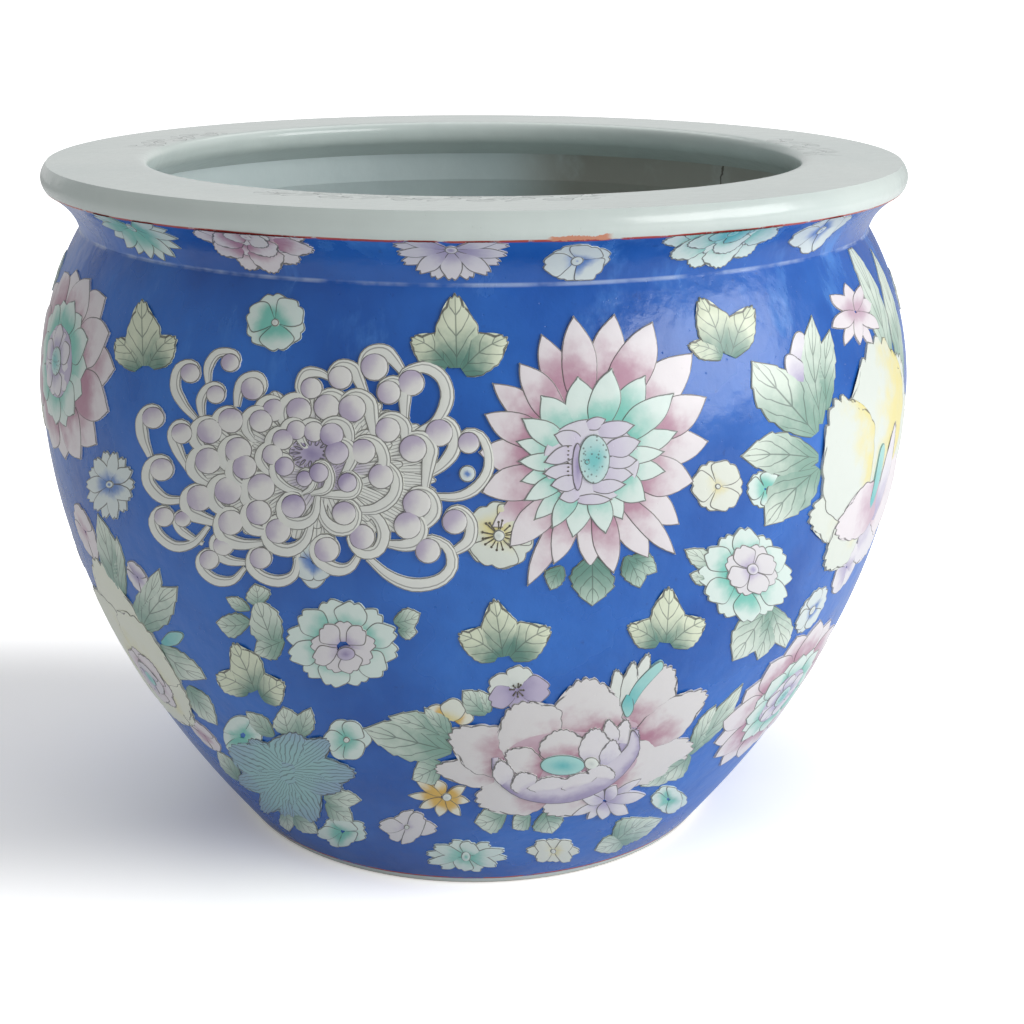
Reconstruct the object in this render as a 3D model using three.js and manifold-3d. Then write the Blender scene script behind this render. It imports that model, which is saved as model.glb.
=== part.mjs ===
// Large porcelain fish bowl with applied relief blossoms, standing on its foot ring.
// Millimetres, +Z up, the origin on the floor at the bowl's axis, -Y is the side that is looked at.
import * as THREE from 'three';
import { mergeVertices } from 'three/addons/utils/BufferGeometryUtils.js';
import Module from 'manifold-3d';

const wasm = await Module();
wasm.setup();

// Driving sizes of the thrown body
const footRadius = 136;
const bellyRadius = 236.7;
const bellyHeight = 250;
const shoulderInset = 25.3;
const shoulderHeight = 83.8;
const wallThickness = 9.5;

// Driving sizes of the foot and the floor of the bowl
const footRingWidth = 17;
const footRingHeight = 9;
const footBandHeight = 5;
const footEdgeRounding = 1.4;
const floorThickness = 12;

// Driving sizes of the neck and the flat rim
const flareRise = 21.4;
const flareReach = 16.5;
const rimBandHeight = 12.8;
const rimOverhang = 2.1;
const rimTopSetback = 1.4;
const rimWidth = 53.1;
const lipRounding = 6;
const lipDepth = 11;
const throatDrop = 22;
const throatInset = 12.4;

// Slip in the lutes between the thrown sections, and under the applied reliefs
const luteGap = 0.35;
const luteSlant = 6;
const reliefGap = 0.3;

// Thickness of the relief clay: the sprig itself and each tier pressed on top of it
const sprigThickness = 1.1;
const tierThickness = 0.8;
const neckSprigThickness = 0.7;

// Corners nearer than this are one corner
const weldDistance = 0.0003;

// How far an outline's cut runs each way from the wall
const bodyCutReach = 42;
const neckCutReach = 6;

// Faces round the bowl, and along its curves
const facesRound = 40;
const lowerSpans = 6;
const upperSpans = 3;
const flareSpans = 2;
const edgeSpans = 3;

// Directions and handles of the wall curve, the handles as shares of the heights that they follow
const footSlope = 53.5;
const neckSlope = 57;
const footHandleShare = 0.16;
const bellyLowerHandleShare = 0.496;
const bellyUpperHandleShare = 0.18;
const neckHandleShare = 0.45;
const luteSpanShare = 0.67;
const flareHandleShares = { reach: 0.13, rise: 0.57 };

// Unit of height of the body's sprigs, as a share of the wall's length from the foot to the neck
const bodyUnitShare = 0.65;

// Directions of a trefoil's three leaves, from the left-hand one over the top to the right
const trefoilTurns = [160, 90, 20];

const radians = THREE.MathUtils.degToRad;
const along = (degrees, length) => new THREE.Vector2(
  Math.cos(radians(degrees)), Math.sin(radians(degrees))).multiplyScalar(length);

// The crease of the neck, and the mouth inside the rim
const neckRadius = bellyRadius - shoulderInset;
const neckHeight = bellyHeight + shoulderHeight;
const mouthRadius = neckRadius + flareReach - rimWidth;
const throatRadius = neckRadius - throatInset;

// Outer wall of the body as two curves, from the foot to the widest part and on to the neck
const footPoint = new THREE.Vector2(footRadius, 0);
const bellyPoint = new THREE.Vector2(bellyRadius, bellyHeight);
const neckPoint = new THREE.Vector2(neckRadius, neckHeight);

function bodyOutline() {
  const outline = new THREE.CurvePath();
  outline.add(new THREE.CubicBezierCurve(
    footPoint,
    footPoint.clone().add(along(footSlope, footHandleShare * bellyHeight)),
    new THREE.Vector2(bellyRadius, bellyHeight * (1 - bellyLowerHandleShare)),
    bellyPoint));
  outline.add(new THREE.CubicBezierCurve(
    bellyPoint,
    new THREE.Vector2(bellyRadius, bellyHeight + bellyUpperHandleShare * shoulderHeight),
    neckPoint.clone().add(along(-neckSlope, neckHandleShare * shoulderHeight)),
    neckPoint));
  return outline;
}

// Trumpet flare of the neck, from the crease up to the painted line under the rim
const linePoint = new THREE.Vector2(neckRadius + flareReach, neckHeight + flareRise);

function flareOutline() {
  const handle = neckPoint.clone().add(new THREE.Vector2(
    flareHandleShares.reach * flareReach, flareHandleShares.rise * flareRise));
  const outline = new THREE.CurvePath();
  outline.add(new THREE.QuadraticBezierCurve(neckPoint, handle, linePoint));
  return outline;
}

// A station is a point of an outline with the direction along it and the direction out of the wall
function station(curve, share) {
  const place = curve.getPoint(share);
  const rise = curve.getTangent(share);
  return { place, rise, out: new THREE.Vector2(rise.y, -rise.x) };
}

function stationsOf(curve, spans) {
  return Array.from({ length: spans + 1 }, (_, index) => station(curve, index / spans));
}

const body = bodyOutline();
const flare = flareOutline();
const lowerStations = stationsOf(body.curves[0], lowerSpans);
const upperStations = stationsOf(body.curves[1], upperSpans);
const bodyStations = [...lowerStations, ...upperStations.slice(1)];
const flareStations = stationsOf(flare.curves[0], flareSpans);

const offset = (stop, distance) => stop.place.clone().addScaledVector(stop.out, distance);
const slide = (stop, distance) => stop.place.clone().addScaledVector(stop.rise, distance);
const innerPoint = (stop) => offset(stop, -wallThickness);

// A ring is turned from a closed section, written anticlockwise as radius and height
function ring(section) {
  const closed = [...section, section[0]];
  const geometry = new THREE.LatheGeometry(closed, facesRound);
  geometry.rotateX(Math.PI / 2);
  geometry.deleteAttribute('uv');
  geometry.deleteAttribute('normal');
  return mergeVertices(geometry, weldDistance);
}

// The foot ring under the floor, with its rounded resting edge and its pale band
function footRing() {
  const innerRadius = footRadius - footRingWidth;
  const bandTop = outerAtHeight(footBandHeight);
  const ringTop = footRingHeight;
  return ring([
    new THREE.Vector2(innerRadius, 0),
    new THREE.Vector2(footRadius - footEdgeRounding, 0),
    outerAtHeight(footEdgeRounding),
    bandTop.clone().addScaledVector(along(footSlope, luteGap), -1),
    new THREE.Vector2(bandTop.x - wallThickness, ringTop),
    new THREE.Vector2(innerRadius, ringTop),
  ]);
}

// The wall's outer point at a height near the foot, where the wall is nearly straight
function outerAtHeight(height) {
  return new THREE.Vector2(footRadius + height / Math.tan(radians(footSlope)), height);
}

// The floor of the bowl, laid on the foot ring inside the lower wall
const floorRadius = footRadius + footBandHeight / Math.tan(radians(footSlope)) - wallThickness;

function baseDisc() {
  const underside = footRingHeight + luteGap;
  const radius = floorRadius - luteGap;
  const flat = Math.tan(radians(footSlope));
  return ring([
    new THREE.Vector2(0, underside),
    new THREE.Vector2(radius, underside),
    new THREE.Vector2(radius + floorThickness / flat, underside + floorThickness),
    new THREE.Vector2(0, underside + floorThickness),
  ]);
}

// The lower wall, from the painted line over the foot up to the slanted lute under the belly
const luteStation = Math.round(lowerSpans * luteSpanShare);

function lowerWall() {
  const outerFoot = outerAtHeight(footBandHeight);
  const innerFoot = new THREE.Vector2(floorRadius, footRingHeight + luteGap);
  const flat = Math.tan(radians(footSlope));
  const innerFloor = new THREE.Vector2(floorRadius + floorThickness / flat,
    innerFoot.y + floorThickness);
  const stops = lowerStations.slice(1, luteStation);
  const lute = lowerStations[luteStation];
  const inner = stops.map(innerPoint).filter((point) => point.y > innerFloor.y + luteSlant);
  return ring([
    outerFoot,
    ...stops.map((stop) => stop.place),
    lute.place,
    innerPoint(lute).addScaledVector(lute.rise, luteSlant),
    ...inner.reverse(),
    innerFloor,
    innerFoot,
  ]);
}

// A thrown section higher up the wall, between two of its stations. Its lutes slant up towards
// the inside, but the crease of the neck is square to the wall.
function wallSection(from, to, topSlant) {
  const stops = bodyStations.slice(from, to + 1);
  const between = stops.slice(1, -1);
  const foot = stops[0];
  const top = stops.at(-1);
  return ring([
    slide(foot, luteGap),
    ...between.map((stop) => stop.place),
    top.place,
    innerPoint(top).addScaledVector(top.rise, topSlant),
    ...between.map(innerPoint).reverse(),
    innerPoint(foot).addScaledVector(foot.rise, luteSlant + luteGap),
  ]);
}

// The neck, a trumpet flare outside and a plain throat inside
const throatPoint = new THREE.Vector2(throatRadius, neckHeight + flareRise + rimBandHeight - throatDrop);

function neckFlare() {
  const crease = bodyStations.at(-1);
  const lift = new THREE.Vector2(0, luteGap);
  return ring([
    crease.place.clone().add(lift),
    ...flareStations.slice(1).map((stop) => stop.place),
    throatPoint,
    innerPoint(crease).add(lift),
  ]);
}

// The flat rim: rounded pale band outside, level top, rounded lip and a sloping underside
const rimTop = neckHeight + flareRise + rimBandHeight;

function curvePoints(from, handle, to) {
  return new THREE.QuadraticBezierCurve(from, handle, to).getPoints(edgeSpans);
}

function rimFlange() {
  const lift = new THREE.Vector2(0, luteGap);
  const bandFoot = linePoint.clone().add(lift);
  const bandTop = new THREE.Vector2(linePoint.x - rimTopSetback, rimTop);
  const bandWidest = new THREE.Vector2(linePoint.x + 2 * rimOverhang, rimTop - rimBandHeight / 2);
  const lipTop = new THREE.Vector2(mouthRadius + lipRounding, rimTop);
  const lipCorner = new THREE.Vector2(mouthRadius - lipRounding * 2 / 3, rimTop);
  const lipFoot = new THREE.Vector2(mouthRadius + lipRounding / 3, rimTop - lipDepth);
  return ring([
    ...curvePoints(bandFoot, bandWidest, bandTop),
    ...curvePoints(lipTop, lipCorner, lipFoot),
    throatPoint.clone().add(lift),
  ]);
}

// Solids and back again, for the cuts that shape the reliefs
function solidOf(geometry) {
  return new wasm.Manifold(new wasm.Mesh({
    numProp: 3,
    vertProperties: new Float32Array(geometry.attributes.position.array),
    triVerts: new Uint32Array(geometry.index.array),
  }));
}

function geometryOf(solid) {
  const mesh = solid.getMesh();
  const geometry = new THREE.BufferGeometry();
  geometry.setAttribute('position', new THREE.BufferAttribute(mesh.vertProperties, mesh.numProp));
  geometry.setIndex(new THREE.BufferAttribute(mesh.triVerts, 1));
  return geometry;
}

// A skin of clay that follows the wall, from which the reliefs are cut. An upper tier starts
// inside the one below it, so that the two join.
function skin(stops, from, to) {
  const near = stops.map((stop) => offset(stop, from));
  const far = stops.map((stop) => offset(stop, to));
  return solidOf(ring([...far, ...near.reverse()]));
}

function bodySkin(tier) {
  const top = reliefGap + sprigThickness + tier * tierThickness;
  const foot = tier === 0 ? reliefGap : top - tierThickness - sprigThickness / 2;
  return skin(bodyStations, foot, top);
}

const neckSkin = skin(flareStations, reliefGap, reliefGap + neckSprigThickness);

// A sheet is a curve of the wall that flat outlines are wrapped on, with its skins, the unit that
// the heights of its flowers are given in, and how far its cuts reach
const bodySheet = {
  curve: body,
  tiers: [bodySkin(0), bodySkin(1), bodySkin(2)],
  heightUnit: bodyUnitShare * body.getLength(),
  reach: bodyCutReach,
};
const neckSheet = { curve: flare, tiers: [neckSkin], heightUnit: flare.getLength(), reach: neckCutReach };

// Where a flat point lands on a sheet: across runs round the bowl, up runs along the curve
function landing(sheet, turn, riseShare, across, up) {
  const length = sheet.curve.getLength();
  const wanted = riseShare + up / length;
  const share = THREE.MathUtils.clamp(wanted, 0, 1);
  const place = sheet.curve.getPointAt(share);
  place.addScaledVector(sheet.curve.getTangentAt(share), (wanted - share) * length);
  const angle = radians(turn) + across / place.x;
  return new THREE.Vector3(place.x * Math.sin(angle), -place.x * Math.cos(angle), place.y);
}

// The frame of a flower: its heart on the wall, with x round the bowl and z out of the wall
function flowerFrame(sheet, turn, riseShare) {
  const rise = sheet.curve.getTangentAt(riseShare);
  const angle = radians(turn);
  const round = new THREE.Vector3(Math.cos(angle), Math.sin(angle), 0);
  const up = new THREE.Vector3(rise.x * Math.sin(angle), -rise.x * Math.cos(angle), rise.y);
  const frame = new THREE.Matrix4().makeBasis(round, up, round.clone().cross(up));
  return frame.setPosition(landing(sheet, turn, riseShare, 0, 0));
}

// One outline, wrapped round the wall and cut straight through it along the flower's own normal
function cutter(sheet, turn, riseShare, outline) {
  const frame = flowerFrame(sheet, turn, riseShare);
  const toFlower = frame.clone().invert();
  const flat = outline.map((point) => {
    const landed = landing(sheet, turn, riseShare, point.x, point.y).applyMatrix4(toFlower);
    return new THREE.Vector2(landed.x, landed.y);
  });
  const depth = 2 * sheet.reach;
  const geometry = new THREE.ExtrudeGeometry(new THREE.Shape(flat), { depth, bevelEnabled: false });
  geometry.translate(0, 0, -sheet.reach);
  geometry.deleteAttribute('uv');
  geometry.deleteAttribute('normal');
  geometry.applyMatrix4(frame);
  return solidOf(mergeVertices(geometry, weldDistance));
}

// Outlines of the moulds are drawn in a unit square round their heart and then scaled
const polar = (angle, distance) => new THREE.Vector2(Math.cos(angle), Math.sin(angle))
  .multiplyScalar(distance);

// One tier of a flower as one outline round its heart. A petal form lists the points of one petal,
// each as a share of the petal's own angle and a share of the distance from the heart to its tip.
const petalFormShares = new Map([
  ['round', [[0, 0.76], [0.28, 0.97], [0.72, 0.97]]],
  ['full', [[0, 0.88], [0.3, 1], [0.7, 1]]],
  ['pointed', [[0, 0.56], [0.3, 0.88], [0.6, 1]]],
  ['sharp', [[0, 0.5], [0.5, 1]]],
  ['hooked', [[0, 0.64], [0.3, 0.92], [0.8, 1]]],
]);

function rosette(petals, form, sizeShare = 1) {
  const outline = [];
  for (let index = 0; index < petals; index += 1) {
    for (const [turnShare, reachShare] of petalFormShares.get(form)) {
      const angle = 2 * Math.PI * (index + turnShare) / petals;
      outline.push(polar(angle + Math.PI / 2, sizeShare * reachShare / 2));
    }
  }
  return outline;
}

// One leaf: half widths along its length, from the stalk to the tip
const leafHalfShares = [[0, 0.12], [0.3, 0.44], [0.65, 0.4], [1, 0]];

// Length, width and start of a trefoil's leaves
const trefoilShares = [[0.6, 0.6, -0.1], [0.8, 0.6, -0.3], [0.6, 0.6, -0.1]];

function leaf(direction, lengthShare, widthShare, fromShare) {
  const side = leafHalfShares.map(([stop, half]) => new THREE.Vector2(
    fromShare + stop * lengthShare, half * widthShare));
  const other = side.slice(0, -1).map((point) => new THREE.Vector2(point.x, -point.y));
  const outline = [...other, ...side.reverse()];
  return outline.map((point) => point.rotateAround(new THREE.Vector2(), radians(direction)));
}

// The moulds: each gives its outlines tier by tier, the lowest tier first
const moulds = {
  blossom: (petals) => [[rosette(petals, 'round')]],
  star: (petals) => [[rosette(petals, 'sharp')]],
  daisy: (petals) => [[rosette(petals, 'full')], [rosette(petals - 5, 'full', 0.6)]],
  leaf: () => [[leaf(90, 1, 1, -0.5)]],
  trefoil: () => [trefoilTurns.map((turn, index) => leaf(turn, ...trefoilShares[index]))],
  lotus: (petals) => [[rosette(petals, 'pointed')], [rosette(6, 'round', 0.5)], [rosette(2, 'full', 0.22)]],
  peony: (petals) => [[rosette(petals, 'round')], [rosette(petals - 2, 'round', 0.5)]],
  chrysanthemum: (petals) => [[rosette(petals, 'hooked')], [rosette(petals - 5, 'hooked', 0.6)]],
};

// Sprigs of the body. Each flower or leaf is mould, turn, rise share, tilt, its width as a share of
// the bowl's radius at its heart, its height as a share of the sheet's height unit, and its petals.
const sprayShares = [
  ['chrysanthemum', [['chrysanthemum', -21.2, 0.752, 0, 0.68, 0.44, 14]]],
  ['lotus', [
    ['lotus', 13.2, 0.775, 0, 0.46, 0.48, 10],
    ['blossom', 3.8, 0.692, 0, 0.15, 0.14, 6],
    ['leaf', 8.5, 0.63, 118, 0.1, 0.17, 0],
    ['leaf', 14, 0.645, 185, 0.1, 0.19, 0],
    ['leaf', 18.5, 0.645, 235, 0.1, 0.15, 0],
  ]],
  ['pink_peony', [
    ['peony', 15.5, 0.33, 0, 0.56, 0.42, 7],
    ['leaf', -3.2, 0.368, 75, 0.13, 0.3, 0],
    ['leaf', 31, 0.372, -55, 0.13, 0.26, 0],
    ['blossom', 5.5, 0.462, 0, 0.15, 0.13, 5],
    ['star', 20.5, 0.222, 0, 0.2, 0.13, 8],
  ]],
  ['right_peony', [
    ['peony', 59, 0.735, 20, 0.46, 0.5, 7],
    ['leaf', 43.5, 0.82, 48, 0.16, 0.32, 0],
    ['leaf', 43, 0.745, 88, 0.15, 0.29, 0],
    ['leaf', 46.2, 0.693, 114, 0.13, 0.23, 0],
    ['leaf', 47.4, 0.865, 14, 0.14, 0.3, 0],
    ['star', 57.5, 0.872, 0, 0.17, 0.15, 9],
  ]],
  ['left_peony', [
    ['peony', -55, 0.385, -15, 0.47, 0.36, 7],
    ['leaf', -43, 0.46, -50, 0.16, 0.29, 0],
    ['leaf', -56, 0.5, 20, 0.14, 0.22, 0],
  ]],
  ['edge_lotus', [['lotus', -63.5, 0.84, -10, 0.51, 0.38, 9]]],
  ['corner_lotus', [
    ['lotus', 53, 0.34, -30, 0.54, 0.48, 9],
    ['leaf', 42, 0.21, 120, 0.11, 0.25, 0],
  ]],
  ['right_daisy', [
    ['daisy', 34, 0.6, 0, 0.29, 0.23, 12],
    ['leaf', 27.5, 0.63, 55, 0.1, 0.16, 0],
    ['leaf', 37.5, 0.515, 190, 0.14, 0.15, 0],
  ]],
  ['left_daisy', [
    ['daisy', -15.5, 0.532, 0, 0.27, 0.22, 12],
    ['leaf', -26, 0.565, 60, 0.12, 0.21, 0],
    ['leaf', -24.5, 0.525, 105, 0.1, 0.17, 0],
    ['leaf', -8.5, 0.575, -50, 0.09, 0.12, 0],
  ]],
  ['veined_bloom', [
    ['peony', -28, 0.29, 0, 0.42, 0.28, 6],
    ['blossom', -17.5, 0.36, 0, 0.16, 0.13, 6],
    ['leaf', -22.5, 0.2, 195, 0.17, 0.2, 0],
  ]],
];

// Single leaves and blossoms scattered between the sprays, written in the same way
const singleShares = [
  ['trefoil_left', [['trefoil', -42, 0.9, 0, 0.2, 0.15, 3]]],
  ['trefoil_middle', [['trefoil', -1.6, 0.935, 0, 0.21, 0.16, 3]]],
  ['trefoil_right', [['trefoil', 30.2, 0.925, -10, 0.19, 0.16, 3]]],
  ['trefoil_under_lotus', [['trefoil', 3.3, 0.562, 180, 0.2, 0.16, 3]]],
  ['trefoil_under_daisy', [['trefoil', 22.5, 0.56, 170, 0.19, 0.15, 3]]],
  ['trefoil_low', [['trefoil', -31, 0.44, -60, 0.18, 0.15, 3]]],
  ['mint_blossom', [['blossom', -23.3, 0.94, 0, 0.14, 0.12, 6]]],
  ['oval_daisy', [['blossom', -47.6, 0.695, 90, 0.17, 0.19, 8]]],
  ['pale_blossom', [['blossom', 28.6, 0.728, 0, 0.13, 0.12, 6]]],
  ['yellow_star', [['star', -4.8, 0.252, 0, 0.17, 0.15, 7]]],
  ['low_daisy', [['blossom', -1.3, 0.1, 0, 0.29, 0.13, 8]]],
];

// Blossoms of the neck, cut off by the painted line under the rim, written in the same way
const neckShares = [
  ['neck_green_blossom', [['blossom', -46, 0.62, 0, 0.24, 1.02, 7]]],
  ['neck_pink_blossom', [['blossom', -27, 0.75, 0, 0.26, 1.19, 8]]],
  ['neck_lilac_blossom', [['blossom', -2.5, 0.72, 0, 0.2, 1.19, 8]]],
  ['neck_white_blossom', [['blossom', 12, 0.52, 0, 0.15, 0.85, 6]]],
  ['neck_mint_blossom', [['blossom', 30, 0.68, 0, 0.26, 1.28, 8]]],
  ['neck_right_blossom', [['blossom', 48, 0.6, 0, 0.24, 1.02, 7]]],
];

// One sprig: every flower cut from the skin of its tier, all joined to one piece of clay
function sprig(sheet, flowers, turnedBy, tierCount = sheet.tiers.length) {
  const cut = Array.from({ length: tierCount }, () => []);
  for (const [mould, turn, riseShare, tilt, widthShare, tallShare, petals] of flowers) {
    const size = new THREE.Vector2(sheet.curve.getPointAt(riseShare).x, sheet.heightUnit);
    moulds[mould](petals).slice(0, tierCount).forEach((outlines, tier) => {
      for (const outline of outlines) {
        const scaled = outline.map((point) => point.clone()
          .multiply(new THREE.Vector2(widthShare, tallShare))
          .rotateAround(new THREE.Vector2(), radians(tilt))
          .multiply(size));
        cut[tier].push(cutter(sheet, turn + turnedBy, riseShare, scaled));
      }
    });
  }
  const tiers = cut.map((plates, tier) => plates.length
    ? plates.reduce((joined, plate) => joined.add(plate)).intersect(sheet.tiers[tier]) : null);
  const joined = tiers.filter(Boolean).reduce((whole, tier) => whole.add(tier));
  return geometryOf(joined);
}

// Finishes as fired: blue ground, pale glaze, bare foot and the enamels of the reliefs
const finishes = {
  blue: { color: 0x3458a8, roughness: 0.28 },
  pale: { color: 0xc8d6d0, roughness: 0.25 },
  bare: { color: 0xcfc4b0, roughness: 0.8 },
  leaf: { color: 0x9dbfa6, roughness: 0.4 },
  mint: { color: 0x9fd3c3, roughness: 0.35 },
  rose: { color: 0xdcc0c6, roughness: 0.35 },
  lilac: { color: 0xc4bcd4, roughness: 0.35 },
  yellow: { color: 0xe4dfb4, roughness: 0.35 },
};

function finishOf(name) {
  if (name.includes('trefoil')) return finishes.leaf;
  if (/mint|green|low|daisy/.test(name)) return finishes.mint;
  if (/pink|lotus/.test(name)) return finishes.rose;
  if (/chrysanthemum|lilac|veined/.test(name)) return finishes.lilac;
  return finishes.yellow;
}

const bowl = new THREE.Group();

function addPiece(name, geometry, finish) {
  const material = new THREE.MeshStandardMaterial({ ...finish, metalness: 0 });
  const piece = new THREE.Mesh(geometry, material);
  piece.name = name;
  bowl.add(piece);
}

addPiece('foot_ring', footRing(), finishes.bare);
addPiece('base_disc', baseDisc(), finishes.pale);
addPiece('lower_wall', lowerWall(), finishes.blue);
addPiece('belly_wall', wallSection(luteStation, lowerSpans, luteSlant), finishes.blue);
addPiece('shoulder_wall', wallSection(lowerSpans, bodyStations.length - 1, 0), finishes.blue);
addPiece('neck_flare', neckFlare(), finishes.blue);
addPiece('rim_flange', rimFlange(), finishes.pale);

// The sprays were pressed in pairs: in full tiers on the front, and once more, flatter, on the back
const sides = { front: { turnedBy: 0, tierCount: 3 }, back: { turnedBy: 180, tierCount: 1 } };
for (const [side, { turnedBy, tierCount }] of Object.entries(sides)) {
  for (const [name, flowers] of sprayShares) {
    addPiece(`${name}_${side}`, sprig(bodySheet, flowers, turnedBy, tierCount), finishOf(name));
  }
}
for (const [name, flowers] of singleShares) {
  addPiece(name, sprig(bodySheet, flowers, 0), finishOf(name));
}
for (const [name, flowers] of neckShares) {
  addPiece(name, sprig(neckSheet, flowers, 0), finishOf(name));
}

export default bowl;
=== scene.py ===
# %% [markdown]
# # A porcelain fish bowl with applied blossoms
# The bowl is a big thrown pot: a bare foot ring, a wall that swells to the belly, a short trumpet
# neck and a flat rim. Thin relief flowers are pressed on the blue ground and painted in enamels.
# The solids of the frame give every piece its place. This lesson dresses them one by one.

# %% Load the solids
import math
import random

import bpy
import numpy as np
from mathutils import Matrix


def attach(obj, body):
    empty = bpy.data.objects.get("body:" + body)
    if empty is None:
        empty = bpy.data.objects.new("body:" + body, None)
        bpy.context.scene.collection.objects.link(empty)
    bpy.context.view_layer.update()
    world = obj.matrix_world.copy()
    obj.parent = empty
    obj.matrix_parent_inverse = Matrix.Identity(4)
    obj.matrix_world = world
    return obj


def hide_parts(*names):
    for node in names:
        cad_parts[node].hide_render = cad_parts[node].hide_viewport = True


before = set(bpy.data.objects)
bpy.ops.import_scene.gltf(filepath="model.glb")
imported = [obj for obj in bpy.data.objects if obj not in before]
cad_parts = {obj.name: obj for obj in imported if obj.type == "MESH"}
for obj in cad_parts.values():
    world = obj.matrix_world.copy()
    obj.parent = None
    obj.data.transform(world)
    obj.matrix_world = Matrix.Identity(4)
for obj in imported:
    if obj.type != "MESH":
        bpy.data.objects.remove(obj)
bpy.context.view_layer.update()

# %% [markdown]
# ## The wall curve
# Every piece of the pot and every petal follows one curve: the outside of the wall, from the foot
# to the belly, the crease of the neck and the painted line under the rim. It is written as three
# Bézier curves, because a potter's profile has few turns. A table of its points by length then lets
# a flat drawing be wrapped round the pot without stretching it.

# %% Sizes of the pot, in millimetres
MM = 0.001
FOOT_RADIUS = 136.0
BELLY = (236.7, 250.0)
NECK = (211.4, 333.8)
LINE = (227.9, 355.2)
RIM_TOP = 368.0
WALL = 9.5
FOOT_SLOPE = math.radians(53.5)
NECK_SLOPE = math.radians(-57)
FOOT_HANDLE = 40.0
BELLY_LOWER_HANDLE = 124.0
BELLY_UPPER_HANDLE = 15.1
NECK_HANDLE = 37.7
FLARE_HANDLE = (213.5, 346.0)
FOOT_BAND = 5.0
LOWER_STEPS, UPPER_STEPS, FLARE_STEPS = 320, 140, 50


def bezier(points, shares):
    """Points of a Bézier curve at these shares of its run."""
    shares = np.asarray(shares, float)
    rank = len(points) - 1
    total = 0
    for k, point in enumerate(np.array(points, float)):
        weight = math.comb(rank, k) * (1 - shares) ** (rank - k) * shares**k
        total = total + np.multiply.outer(weight, point)
    return total


LOWER_CURVE = [
    (FOOT_RADIUS, 0),
    (FOOT_RADIUS + FOOT_HANDLE * math.cos(FOOT_SLOPE), FOOT_HANDLE * math.sin(FOOT_SLOPE)),
    (BELLY[0], BELLY[1] - BELLY_LOWER_HANDLE),
    BELLY,
]
UPPER_CURVE = [
    BELLY,
    (BELLY[0], BELLY[1] + BELLY_UPPER_HANDLE),
    (NECK[0] + NECK_HANDLE * math.cos(NECK_SLOPE), NECK[1] + NECK_HANDLE * math.sin(NECK_SLOPE)),
    NECK,
]
FLARE_CURVE = [NECK, FLARE_HANDLE, LINE]


def with_normals(curve, count):
    """Points of a curve, and the directions out of the wall there."""
    places = bezier(curve, np.linspace(0, 1, count))
    rise = np.gradient(places, axis=0)
    rise /= np.linalg.norm(rise, axis=1)[:, None]
    return places, np.stack([rise[:, 1], -rise[:, 0]], axis=1)


sampled = [
    with_normals(LOWER_CURVE, LOWER_STEPS),
    with_normals(UPPER_CURVE, UPPER_STEPS),
    with_normals(FLARE_CURVE, FLARE_STEPS),
]
WALL_POINTS = np.concatenate([places for places, _ in sampled])
WALL_NORMALS = np.concatenate([normals for _, normals in sampled])
SEEN_POINTS = WALL_POINTS
OVERRUN = 45.0
beyond = WALL_POINTS[-1] + OVERRUN * np.array([-WALL_NORMALS[-1][1], WALL_NORMALS[-1][0]])
WALL_POINTS = np.vstack([WALL_POINTS, beyond])
WALL_NORMALS = np.vstack([WALL_NORMALS, WALL_NORMALS[-1]])
steps = np.linalg.norm(np.diff(WALL_POINTS, axis=0), axis=1)
WALL_RUN = np.concatenate([[0], np.cumsum(steps + 1e-6)])
NECK_RUN = float(np.interp(NECK[1], WALL_POINTS[:, 1], WALL_RUN))
LINE_RUN = float(WALL_RUN[-2])
print("length of the wall: %.1f mm to the neck, %.1f mm to the line" % (NECK_RUN, LINE_RUN))


def wall_radius(run):
    """Radius of the outside at a length along the wall."""
    return np.interp(run, WALL_RUN, WALL_POINTS[:, 0])


def on_wall(angle, run, lift):
    """Points in metres at an angle round the pot and a run along the wall, lifted off it."""
    radius, height = (np.interp(run, WALL_RUN, WALL_POINTS[:, k]) for k in (0, 1))
    out, up = (np.interp(run, WALL_RUN, WALL_NORMALS[:, k]) for k in (0, 1))
    radius = radius + lift * out
    return np.stack([radius * np.sin(angle), -radius * np.cos(angle), height + lift * up], axis=-1) * MM


# %% [markdown]
# ## The camera
# The picture was taken from a little above the rim with a long lens. The camera's height, distance
# and tilt were worked out from the ellipses of the rim and the foot, and the pot stands a little to
# the left of the middle, which a small shift of the lens gives.

# %% Place the camera
IMAGE = 1024
FOCAL_PX = 1788.1
AXIS_PX = 474.0
EYE = (0.0, -982.6, 473.8)
TILT = math.radians(17.521)
SENSOR = 36.0

lens = bpy.data.cameras.new("camera")
lens.sensor_width = SENSOR
lens.lens = FOCAL_PX / IMAGE * SENSOR
lens.shift_x = (IMAGE / 2 - AXIS_PX) / IMAGE
camera = bpy.data.objects.new("camera", lens)
camera.location = [value * MM for value in EYE]
camera.rotation_euler = (math.pi / 2 - TILT, 0, 0)
bpy.context.scene.collection.objects.link(camera)
bpy.context.scene.camera = camera
print("lens: %.1f mm" % lens.lens)


# %% [markdown]
# ## From the picture to the wall
# The flowers that the picture shows are drawn where they are seen, in its pixels, and then laid on
# the pot: a ray goes from the eye through each pixel, and the place where it meets the wall becomes
# an angle round the pot and a run along the wall.

# %% Lay pixels on the wall
RAY_START = 640.0
RAY_END = 1260.0
RAY_STEPS = 260
ABOVE_LINE = 12.0
MISSED = 400.0
NO_FALL = 1e-9


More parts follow.
